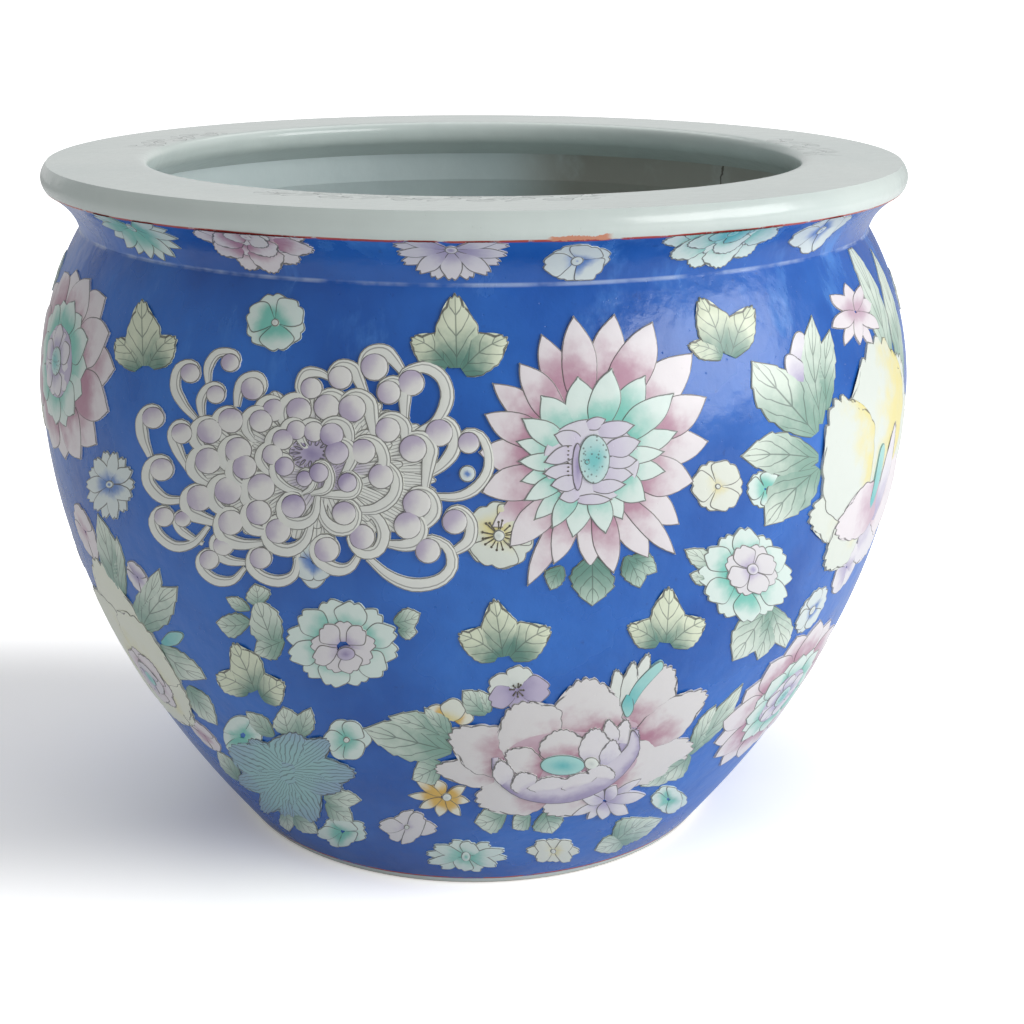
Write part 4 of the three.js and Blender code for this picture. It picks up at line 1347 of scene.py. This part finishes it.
right = Relief()
right.petal("lilac", "round", (806, 388), (798, 331), 24)
right.petal("lilac", "round", (804, 388), (787, 354), 20, layer=0.5)
right.ring("mint", "notched", (765, 489), (19, 20), 6, inner=0.05, layer=-0.6)
right.leaves("leaf", RIGHT_LEAVES)
right.fan("rose_pale", "blade", RIGHT_BUD, RIGHT_BUD_TIPS, inner=0.04, fill=1.4, layer=0.3)
side = sheet(66, 0.86)
right.petal("leaf", "leaf", (-14, -24), (-21, 56), 26, layer=0.2, place=side, fine=True)
right.petal("leaf", "leaf", (8, -34), (12, 44), 28, place=side, fine=True)
side = sheet(57.7, 0.644)
RIGHT_PETALS = [
    # enamel, base, tip, width, layer
    ("lilac", (4, -6), (32, -36), 40, 0.8), ("yellow", (8, 8), (58, 40), 50, 1.0),
    ("rose_pale", (8, 0), (57, -8), 44, 1.3), ("yellow", (8, 8), (40, 68), 48, 1.2),
    ("fold", (0, 4), (2, 84), 84, 1.6), ("yellow", (-8, 0), (-63, 8), 34, 1.2),
    ("yellow", (-8, -4), (-38, -26), 38, 1.8), ("fold", (-18, 0), (-48, 62), 50, 2.2),
    ("lilac", (12, -14), (26, 36), 16, 2.8), ("rose_pale", (16, -2), (-38, -5), 30, 2.9)]
for colour, base, tip, width, layer in RIGHT_PETALS:
    right.petal(colour, "wavy", base, tip, width, layer=layer, place=side, fine=True)
right.petal("turquoise", "ray", (2, -5), (6, 29), 9, layer=3.4, dome=0.3, place=side)
right.ring("lilac", "notched", (0, 0), (15, 15), 5, inner=0.05, place=sheet(56, 0.546))
right.press_pair("right_peony", "yellow_enamel")

# %% Left peony
LEFT_LEAVES = [
    ((119, 598), (98, 513), 22, 2), ((124, 600), (117, 536), 16, -2), ((140, 634), (178, 586), 40, -5),
    ((134, 622), (160, 568), 24, 3), ((160, 646), (207, 679), 26, 4), ((188, 686), (218, 725), 20)]

left = Relief()
left.ring("lilac", "notched", (0, 0), (10, 9), 5, inner=0.05, place=sheet(-45.8, 0.564))
left.ring("rose_pale", "notched", (0, 0), (15, 16), 5, inner=0.05, place=sheet(-58.3, 0.595))
left.leaves("leaf", LEFT_LEAVES)
left.petal("turquoise", "round", (162, 643), (184, 634), 15)
left.ring("rose_pale", "notched", (0, 0), (12, 12), 5, inner=0.05, place=sheet(-47, 0.275))
side = sheet(-54.5, 0.368)
LEFT_PETALS = [
    # tip, width, layer
    ((-10, 70), 54, 0.9), ((-50, 36), 52, 1.5), ((-50, -14), 46, 0.9), ((-14, -34), 50, 1.5),
    ((22, -28), 40, 0.9), ((36, 2), 46, 1.5), ((24, 42), 50, 2.0)]
for tip, width, layer in LEFT_PETALS:
    base = (tip[0] * 0.1, tip[1] * 0.1)
    left.petal("cream_yellow", "wavy", base, tip, width, layer=layer, place=side, fine=True)
left.ring("rose_pale", "wavy", (0, -2), (22, 20), 7, inner=0.1, layer=2.5, place=side, fine=True)
left.ring("lilac", "wavy", (0, -2), (13, 11), 5, inner=0.1, layer=3.6, place=side)
left.boss("turquoise", (0, -2), (5, 5), layer=4.4, place=side)
left.press_pair("left_peony", "yellow_enamel")

# %% [markdown]
# ## Lotuses at the edges
# Two more lotuses are half hidden where the wall turns away. They are rings on a flat sheet, with
# the same rows as the one in front.

# %% Edge and corner lotus
def side_lotus(place, radii, turn):
    """The rows of a lotus on a flat sheet, from its outer petals to its seed pod."""
    def share(across, up):
        return radii[0] * across, radii[1] * up

    flower = Relief(place=place)
    flower.ring("rose", "pointed", (0, 0), radii, 16, inner=0.4, fill=1.22, turn=turn, layer=0.6, fine=True)
    flower.ring("mint", "ogee", (0, 0), share(0.64, 0.64), 15, inner=0.45, fill=1.3, turn=turn, layer=1.8)
    flower.boss("violet", (0, 0), share(0.37, 0.37), layer=2.5, dome=0.2, fine=True)
    flower.ring("lilac", "round", (0, 0), share(0.36, 0.36), 11, inner=0.3, layer=2.8)
    flower.boss("pod", (0, 0), share(0.13, 0.15), layer=3.6, fine=True)
    return flower


edge_lotus = side_lotus(sheet(-62.5, 0.83), (63, 49), 8)
edge_lotus.press_pair("edge_lotus", "rose_enamel")

corner_lotus = side_lotus(sheet(52.5, 0.335), (50, 47), 20)
corner_lotus.place = photo_to_wall
corner_lotus.ring("mint", "notched", (668, 799), (19, 13), 6, inner=0.1, layer=0.2)
corner_lotus.press_pair("corner_lotus", "rose_enamel")

# %% [markdown]
# ## The chrysanthemum
# The big chrysanthemum is all curls. Every petal is a band with a rolled tip, shaded violet, and
# the bands run back to the middle over a plate of fine rays. The outer hooks stand free on the blue
# ground, so their paths are drawn point by point. The inner curls only need a ball, a root and the
# side on which the band goes round it.

# %% Chrysanthemum
DEEP_LAYER = 2.8
MUM_HOOKS = [
    # ball, radius, layer, path from the root
    ((262, 186), 36, 1.2, [(290, 385), (232, 318), (196, 245), (207, 170), (248, 140)]),
    ((430, 142), 34, 1.2, [(335, 240), (335, 160), (368, 105), (415, 94)]),
    ((368, 276), 34, 1.2, [(312, 385), (304, 300), (332, 248), (372, 236)]),
    ((522, 252), 42, 1.2, [(455, 325), (464, 262), (490, 212), (540, 198)]),
    ((105, 374), 40, 1.2, [(88, 535), (58, 450), (54, 376), (90, 332)]),
    ((226, 440), 38, 1.2, [(252, 595), (205, 505), (184, 440), (212, 396)]),
    ((142, 592), 42, 1.2, [(245, 718), (150, 715), (85, 650), (82, 585), (118, 545)]),
    ((152, 792), 36, 1.2, [(335, 830), (275, 900), (195, 915), (125, 865), (102, 800), (130, 755)]),
    ((230, 800), 30, 1.1, [(312, 905), (250, 870), (212, 838), (200, 795), (228, 768)]),
    ((342, 972), 36, 1.2, [(490, 1005), (440, 1058), (368, 1058), (312, 1015), (302, 965), (328, 936)]),
    ((402, 912), 38, 1.2, [(500, 985), (425, 975), (372, 940), (362, 890), (396, 866)]),
    ((560, 965), 40, 1.2, [(715, 935), (700, 1030), (640, 1062), (565, 1045), (514, 995), (524, 935)]),
    ((838, 930), 46, 1.2, [(975, 945), (935, 1002), (875, 1012), (808, 975), (786, 920), (822, 880)]),
    ((1262, 935), 46, 1.2, [(1010, 965), (1100, 1040), (1205, 1078), (1310, 1060), (1365, 1000),
        (1352, 925), (1290, 884)]),
    ((1192, 228), 48, 1.2, [(1215, 435), (1300, 385), (1345, 290), (1325, 205), (1262, 160), (1198, 166)]),
    ((775, 248), 40, 1.2, [(850, 205), (805, 182), (748, 184), (724, 232)]),
    ((1310, 438), 50, 1.1, [(1255, 620), (1330, 565), (1374, 500), (1372, 425), (1332, 384)]),
    ((1435, 480), 40, 1.0, [(1262, 700), (1380, 706), (1462, 672), (1516, 600), (1520, 520),
        (1490, 450), (1438, 428)]),
    ((1375, 812), 46, 1.1, [(1340, 950), (1400, 922), (1440, 885), (1445, 815), (1400, 764)]),
    ((1065, 620), 46, 2.3, [(935, 760), (1040, 755), (1115, 705), (1132, 630), (1090, 572)]),
    ((990, 515), 46, 2.6, [(965, 650), (1040, 622), (1080, 560), (1060, 490), (1005, 462)]),
    ((910, 775), 44, 2.5, [(805, 705), (825, 795), (880, 842), (942, 832), (962, 775), (932, 728)]),
    ((925, 645), 36, 3.0, [(790, 690), (880, 695), (950, 690), (968, 645), (938, 606)]),
    ((805, 603), 36, 3.6, [(770, 690), (835, 672), (852, 620), (830, 568)]),
    ((745, 628), 30, 3.4, [(735, 690), (772, 668), (782, 628), (756, 596)]),
    ((662, 578), 36, 3.0, [(740, 690), (670, 665), (624, 625), (616, 572), (648, 534)]),
    ((435, 815), 46, 1.9, [(565, 900), (480, 905), (405, 880), (382, 820), (410, 766)]),
    ((635, 850), 46, 2.4, [(775, 800), (745, 890), (680, 930), (608, 910), (582, 850), (612, 800)]),
    ((700, 745), 44, 3.1, [(800, 700), (785, 780), (730, 815), (665, 800), (648, 745), (678, 698)]),
    ((990, 872), 46, 1.9, [(965, 775), (1040, 785), (1078, 860), (1050, 930), (985, 938), (940, 885)])]
MUM_SWIRLS = [
    # ball, radius, root, side, layer
    ((1040, 160), 50, (1165, 190), -1, 1.0), ((895, 205), 44, (1010, 300), -1, 1.0),
    ((1098, 268), 44, (1165, 400), -1, 1.5), ((1095, 425), 46, (1165, 520), -1, 1.6),
    ((1200, 505), 50, (1250, 680), -1, 1.7), ((945, 335), 50, (1045, 480), -1, 1.9),
    ((838, 330), 48, (925, 450), -1, 1.4), ((1215, 735), 52, (1200, 850), -1, 1.3),
    ((1175, 825), 50, (1095, 905), -1, 1.5), ((880, 520), 44, (900, 625), -1, 3.0),
    ((860, 445), 44, (930, 500), -1, 2.9), ((785, 432), 38, (770, 510), 1, 2.6),
    ((712, 425), 36, (700, 500), 1, 2.5), ((655, 465), 38, (650, 545), 1, 2.6),
    ((612, 528), 38, (615, 620), 1, 2.7), ((720, 342), 46, (680, 425), 1, 1.4),
    ((615, 342), 42, (590, 430), 1, 1.0), ((560, 388), 42, (530, 470), 1, 1.5),
    ((435, 385), 46, (470, 470), 1, 1.3), ((345, 430), 46, (360, 515), 1, 1.2),
    ((340, 555), 48, (350, 660), 1, 1.4), ((468, 510), 48, (500, 600), 1, 2.0),
    ((495, 580), 44, (520, 670), 1, 2.4), ((565, 665), 50, (600, 750), 1, 2.3),
    ((425, 680), 50, (440, 770), 1, 2.0), ((305, 710), 48, (385, 820), 1, 1.5),
    ((555, 770), 46, (620, 840), 1, 2.6)]
MUM_MIDDLE = (775, 520)

mum = Relief(place=enlarged((130, 330), 4.238))
mum.ring("azure", "round", (780, 980), (88, 112), 6, inner=0.1, turn=90)
mum.boss("azure", (1430, 608), (36, 36), layer=0.6)
mum.ring("ray", "ray", (770, 590), (520, 320), 44, inner=0.12, jitter=0.1, dome=0.08)
mum.ring("ray", "ray", (820, 610), (330, 235), 34, inner=0.12, layer=0.9, jitter=0.1, dome=0.08)
mum.boss("violet", MUM_MIDDLE, (98, 72), layer=2.0, dome=0.1, fine=True)
mum.ring("violet", "blade", MUM_MIDDLE, (92, 66), 26, inner=0.45, fill=0.9, layer=2.2, dome=0.05)


def curl_enamel(layer):
    """The curls of the middle are a deeper violet."""
    return "curl_deep" if layer > DEEP_LAYER else "curl"


for ball, radius, layer, path in MUM_HOOKS:
    mum.curl(ball, radius, path, layer, curl_enamel(layer))
for ball, radius, root, curl_side, layer in sorted(MUM_SWIRLS, key=lambda row: row[-1]):
    mum.swirl(ball, radius, root, curl_side, layer, curl_enamel(layer))
mum.press_pair("chrysanthemum", "lilac_enamel")

# %% [markdown]
# ## Daisies, trefoils and scattered blossoms
# The rest fills the ground: round daisies in mint and lilac, leaves in threes, and small blossoms.
# Each is a few petals round a heart. Notched tips and toothed leaves come from the same patch.

# %% Daisies
DAISIES = {
    # name: leaves, then heart, radii and turn of the outer row,
    # heart, radii, petals, inner share and turn of the inner row, and enamel, heart and radii of the middle
    "left_daisy": ([
        ((258, 606), (255, 583), 26, 2), ((250, 622), (216, 622), 26, -3), ((250, 610), (226, 597), 14),
        ((276, 648), (256, 598), 34), ((284, 640), (254, 652), 30), ((394, 622), (421, 613), 24, 2),
        ((398, 630), (418, 632), 18)],
        ((344, 643), (59, 44), 12), ((344, 646), (34, 26), 9, 0.2, 30), ("violet", (347, 652), (9.5, 7))),
    "right_daisy": ([
        ((714, 572), (684, 549), 22, 3), ((712, 580), (689, 574), 18), ((766, 608), (732, 661), 34),
        ((772, 608), (757, 660), 26), ((770, 606), (785, 648), 30)],
        ((745, 575), (47, 47), 0), ((750, 569), (27, 27), 8, 0.1, 20), ("lilac", (751, 568), (6, 6))),
}
for name, (leaves, outer_row, inner_row, middle) in DAISIES.items():
    daisy = Relief()
    daisy.leaves("leaf", leaves)
    heart, radii, turn = outer_row
    daisy.ring("mint", "notched", heart, radii, 12, inner=0.3, fill=1.12, turn=turn, layer=0.7, fine=True)
    heart, radii, count, share, turn = inner_row
    daisy.ring(
        "pearl", "notched", heart, radii, count, inner=share, fill=1.1, turn=turn, layer=1.9, fine=True)
    daisy.boss(*middle, layer=2.9, dome=0.5)
    daisy.press_pair(name, "mint_enamel")

# %% Veined bloom
BLOOM_LEAVES = [
    ((274, 736), (246, 711), 18), ((290, 736), (283, 706), 28), ((299, 738), (311, 707), 22),
    ((324, 797), (362, 800), 20), ((326, 803), (354, 822), 22), ((290, 812), (319, 833), 18),
    ((286, 808), (290, 831), 18), ((242, 781), (217, 750), 14)]
BLOOM_NEIGHBOUR = (347, 739)

bloom = Relief()
bloom.leaves("leaf", BLOOM_LEAVES)
bloom.ring("mint", "notched", (343, 831), (27, 13), 7, inner=0.1, turn=20)
bloom.ring("mint", "round", BLOOM_NEIGHBOUR, (25, 20), 6, inner=0.12, turn=0, fill=1.05)
bloom.boss("white", BLOOM_NEIGHBOUR, (3.5, 3), layer=0.8)
bloom.ring("mint", "round", (243, 735), (20, 20), 5, inner=0.12, turn=30)
BLOOM_PETALS = [
    # base, tip, width
    ((283, 772), (229, 746), 34), ((283, 776), (238, 779), 30), ((280, 770), (249, 738), 24),
    ((286, 778), (264, 812), 30), ((290, 780), (290, 818), 32), ((292, 778), (317, 821), 36),
    ((294, 774), (344, 788), 26), ((292, 770), (357, 773), 30), ((292, 766), (331, 739), 30),
    ((288, 764), (297, 731), 46)]
for base, tip, width in BLOOM_PETALS:
    bloom.petal("frost", "wavy", base, tip, width, layer=0.8 + 0.1 * (width % 4), fine=True)
bloom.boss("frost", (288, 774), (22, 18), layer=0.7, dome=0.0, fine=True)
bloom.press_pair("veined_bloom", "lilac_enamel")

# %% Trefoils
TREFOILS = {
    # name: lobes of base, tip, width and bend, with the middle lobe last so that it lies on top
    "trefoil_left": [
        ((140, 368), (117, 338), 32, 3), ((150, 366), (176, 336), 32, -3), ((145, 366), (143, 299), 33)],
    "trefoil_middle": [
        ((448, 366), (411, 337), 38, 4), ((462, 370), (508, 337), 42, -4), ((457, 368), (455, 293), 43)],
    "trefoil_right": [
        ((722, 356), (687, 345), 24, 3), ((730, 356), (752, 305), 34, -3),
        ((722, 352), (699, 297), 34, 2)],
    "trefoil_under_lotus": [
        ((498, 656), (458, 633), 36, 4), ((510, 656), (551, 627), 38, -4), ((503, 656), (494, 598), 37)],
    "trefoil_under_daisy": [
        ((658, 643), (627, 625), 30, 3), ((670, 643), (705, 619), 34, -3), ((665, 642), (669, 586), 33)],
    "trefoil_low": [
        ((250, 690), (216, 674), 30, 3), ((262, 697), (285, 682), 34, -2),
        ((256, 690), (233, 642), 32, 2)],
}
for name, lobes in TREFOILS.items():
    trefoil = Relief()
    for layer, (base, tip, width, *bend) in enumerate(lobes):
        trefoil.petal("trefoil", "lobe", base, tip, width, *bend, layer=0.25 * layer, dome=0.5, fine=True)
    trefoil.boss("leaf_dark", (base[0], base[1] - 7), (9, 6), layer=0.2, dome=0.1)
    trefoil.press_with_twin(name, name)

# %% Small blossoms
BLOSSOMS = {
    # name: slot, enamel, heart, radii, petals, turn, enamel and radius of the heart
    "mint_blossom": ("mint_enamel", "mint", (276, 323), (31, 29), 6, 25, "white", 4),
    "oval_daisy": ("lilac_enamel", "azure", (111, 484), (24, 36), 14, 0, "azure", 4),
    "pale_blossom": ("lilac_enamel", "butter", (717, 486), (27, 28), 6, 0, "white", 3),
    "low_daisy": ("mint_enamel", "mint", (466, 855), (41, 15), 12, 8, "mint", 5),
}
for name, (slot, colour, heart, radii, count, turn, middle, dot) in BLOSSOMS.items():
    blossom = Relief()
    blossom.ring(
        colour, "notched", heart, radii, count, inner=0.06, fill=1.08, turn=turn, layer=0.3, fine=True)
    blossom.boss(middle, heart, (dot, dot), layer=1.2)
    blossom.press_with_twin(name, name)

STAR_TIPS = [(408, 795), (416, 780), (437, 779), (466, 786), (470, 801), (461, 815), (439, 816), (419, 807)]
star = Relief()
star.fan("gold", "blade", (444, 797), STAR_TIPS, inner=0.1, fill=1.2)
star.boss("white", (447, 796), (5, 4), layer=1.0)
star.press_with_twin("yellow_star", "yellow_star")

# %% [markdown]
# ### What no solid stands for
# Two florets and a leaf low on the front are too small to have solids. The bare stretch at each
# side, where the front and the back meet, has small blossoms and trefoils of the same kinds.

# %% Florets, a low leaf and the sides
FLORETS = {
    # name: enamel, heart, radii, petals, turn
    "lilac_floret": ("pearl", (407, 826), (30, 13), 6, 10),
    "butter_floret": ("butter", (553, 850), (27, 12), 8, 0),
}
for name, (colour, heart, radii, count, turn) in FLORETS.items():
    floret = Relief()
    floret.ring(colour, "notched", heart, radii, count, inner=0.06, fill=1.08, turn=turn, fine=True)
    floret.boss("white", heart, (3, 2.5), layer=0.9)
    floret.press_with_twin(name)

SIDE_FILL = [
    # turn, share up the wall, enamel, radius in millimetres, petals, heart
    (49, 0.501, "azure", 14, 7, "white"), (92, 0.56, "mint", 27, 11, "pearl"),
    (80, 0.9, "butter", 12, 6, "white"), (101, 0.93, "mint", 12, 6, "white"),
    (87, 0.27, "pearl", 15, 7, "violet"), (101, 0.38, "azure", 13, 8, "white"),
    (82, 0.1, "butter", 13, 8, "white"), (97, 0.13, "mint", 14, 8, "turquoise"),
    (-77, 0.5, "lilac", 13, 6, "white")]
DOUBLE_FROM = 20
SIDE_TREFOILS = [(88, 0.8), (78, 0.4), (106, 0.2), (104, 0.72)]
SIDE_LOBES = [((-3, -2), (-15, 8), 14), ((3, -2), (15, 8), 14), ((0, -3), (1, 22), 17)]
fill = Relief(place=None)
for turn, share, colour, radius, count, heart in SIDE_FILL:
    place = sheet(turn, share)
    radii = (radius, radius)
    fill.ring(
        colour, "notched", (0, 0), radii, count, inner=0.06, fill=1.1, turn=turn, place=place, fine=True)
    fill.boss(heart, (0, 0), (radius * 0.2, radius * 0.2), layer=0.9, place=place)
    if radius > DOUBLE_FROM:
        fill.ring("pearl", "notched", (0, 0), (15, 15), 8, inner=0.1, layer=1.2, place=place, fine=True)
        fill.boss("violet", (0, 0), (4, 4), layer=2.2, place=place)
for turn, share in SIDE_TREFOILS:
    place = sheet(turn, share)
    for base, tip, width in SIDE_LOBES:
        layer = 0.2 * (width > 15)
        fill.petal("trefoil", "lobe", base, tip, width, layer=layer, dome=0.3, place=place, fine=True)
fill.press("side_fill_right")
fill.press("side_fill_left", turn=180)

low_leaf = Relief()
low_leaf.leaves("leaf", [
    ((612, 843), (662, 818), 20, -2), ((612, 843), (642, 817), 26), ((626, 838), (594, 850), 18)])
low_leaf.press_with_twin("low_leaf")

# %% [markdown]
# ### Blossoms of the neck
# The neck carries half blossoms that the red line cuts off. They are drawn on a sheet whose heart
# lies near the line. Full rows leave out the petals that would point far above it, and a flat cut
# at the height of the line takes the rest away.

# %% Neck blossoms
NECK_BLOSSOMS = {
    # name: slot, angle, heart above the crease, rows of enamel, form, radii, petals, inner share
    "neck_green_blossom": ("mint_enamel", -45.5, 20, [("mint", "blade", (31, 20), 18, 0.1)]),
    "neck_pink_blossom": ("rose_enamel", -26, 26, [
        ("rose", "wavy", (31, 24), 12, 0.3), ("rose", "wavy", (24, 16), 9, 0.2),
        ("peony", "wavy", (13, 9), 6, 0.1)]),
    "neck_lilac_blossom": ("lilac_enamel", -2.5, 21, [("lilac", "notched", (25, 20), 18, 0.1)]),
    "neck_white_blossom": ("lilac_enamel", 11.9, 12, [("azure", "notched", (16, 12), 6, 0.1)]),
    "neck_mint_blossom": ("mint_enamel", 30, 27, [
        ("mint", "wavy", (34, 25), 12, 0.3), ("mint", "wavy", (24, 17), 9, 0.2),
        ("turquoise", "wavy", (13, 9), 6, 0.1)]),
    "neck_right_blossom": ("lilac_enamel", 47.5, 17, [("azure", "notched", (22, 12), 6, 0.1)]),
}
CUT_HEIGHT = LINE[1] - 0.3
NECK_LIMITS = (NECK_RUN + 1.2, LINE_RUN + 30)
NECK_TOP, NO_TOP = 0.6, 2.0
FULL_ROW = 7


def cut_at_line(piece):
    """Takes away what lies above the red line."""
    bpy.ops.object.select_all(action="DESELECT")
    bpy.context.view_layer.objects.active = piece
    piece.select_set(True)
    bpy.ops.object.mode_set(mode="EDIT")
    bpy.ops.mesh.select_all(action="SELECT")
    bpy.ops.mesh.bisect(plane_co=(0, 0, CUT_HEIGHT * MM), plane_no=(0, 0, 1), clear_outer=True)
    bpy.ops.object.mode_set(mode="OBJECT")


for name, (slot, turn, heart, rows) in NECK_BLOSSOMS.items():
    blossom = Relief(place=sheet(turn, 1, heart), limits=NECK_LIMITS, thickness=NECK_THICKNESS)
    for row, (colour, form, radii, count, share) in enumerate(rows):
        top = NECK_TOP if count >= FULL_ROW else NO_TOP
        blossom.ring(colour, form, (0, 0), radii, count, inner=share, turn=10, layer=row * 0.6, dome=0.08,
                     fine=True, top=top)
    blossom.boss(rows[-1][0], (0, 0), (3, 3), layer=0.6 * len(rows), dome=0.1)
    cut_at_line(blossom.press(name, name))
    cut_at_line(blossom.press(f"{name}_back", turn=180))

# %% [markdown]
# ## Stage and light
# A pale floor and soft studio light. The tall soft box at the right gives the broad gleam on the
# shoulder and the soft shadow to the left. A soft box from above, behind the pot, lights the rim
# and the inside, and a low panel far behind gives the rim its sheen. The bright room does the rest.
# The floor shines white for the camera alone, except near the pot, where its shadow has to stay.

# %% Floor, world and lamps
WHITE = (1, 1, 1, 1)
FLOOR_PAINT = (0.9, 0.9, 0.9, 1)
FLOOR_SIZE = 60
FLOOR_DROP = 0.0002
FLOOR_SPECULAR = 0.1
FLOOR_GLOW = 0.14
FLOOR_FADE = (0.1, 0.3)
SHADOW_PLACE = (0.35, -0.03, 0.0)
SHADOW_STRETCH = (0.3, 1.0, 1.0)
ROOM_LIGHT = 0.41
LAMPS = {
    # name: place, what it looks at, width and height in metres, watts
    "key_light": ((1.8, -0.95, 0.95), (0, 0, 0.2), (1.7, 1.2), 34),
    "top_light": ((-0.1, 1.3, 2.1), (0, 0, 0.35), (2.2, 1.6), 16),
    "back_panel": ((-0.4, 1.9, 0.66), (0, 0, 0.4), (2.8, 0.8), 2.2),
}

bpy.ops.object.select_all(action="DESELECT")
bpy.ops.mesh.primitive_plane_add(size=FLOOR_SIZE, location=(0, 0, -FLOOR_DROP))
floor = bpy.context.object
floor.name = "studio_floor"
floor_paint, tree, shader, place = fired("studio_floor", 0.9)
shader["Base Color"].default_value = FLOOR_PAINT
shader["Specular IOR Level"].default_value = FLOOR_SPECULAR
shader["Emission Color"].default_value = WHITE
shifted = tree.value("ShaderNodeVectorMath", 0, {0: place, 1: SHADOW_PLACE})
x, y, z = tree.split(tree.stretched(shifted, SHADOW_STRETCH))
glow = tree.ramp(tree.from_axis(x, y), *FLOOR_FADE) * (1.0 - FLOOR_GLOW) + FLOOR_GLOW
tree.join(glow * tree.value("ShaderNodeLightPath", "Is Camera Ray"), shader["Emission Strength"])
floor.data.materials.append(floor_paint)

world = bpy.data.worlds.new("studio")
bpy.context.scene.world = world
world.use_nodes = True
sky = Tree(world.node_tree)
background = sky.nodes["Background"].inputs
background["Color"].default_value = WHITE
seen = sky.value("ShaderNodeLightPath", "Is Camera Ray")
sky.join(seen * (1.0 - ROOM_LIGHT) + ROOM_LIGHT, background["Strength"])


def soft_box(name, location, target, size, power):
    """A lamp with a broad face that looks at its target and that the camera doesn't see."""
    lamp = bpy.data.lights.new(name, "AREA")
    lamp.shape = "RECTANGLE"
    lamp.size, lamp.size_y = size
    lamp.energy = power
    box = bpy.data.objects.new(name, lamp)
    box.location = location
    direction = np.array(target) - np.array(location)
    tilt = math.acos(-direction[2] / np.linalg.norm(direction))
    box.rotation_euler = (tilt, 0, math.atan2(direction[1], direction[0]) - math.pi / 2)
    box.visible_camera = False
    bpy.context.scene.collection.objects.link(box)


for name, settings in LAMPS.items():
    soft_box(name, *settings)
bpy.context.scene.view_settings.view_transform = "Standard"
print("lamps:", sorted(LAMPS))
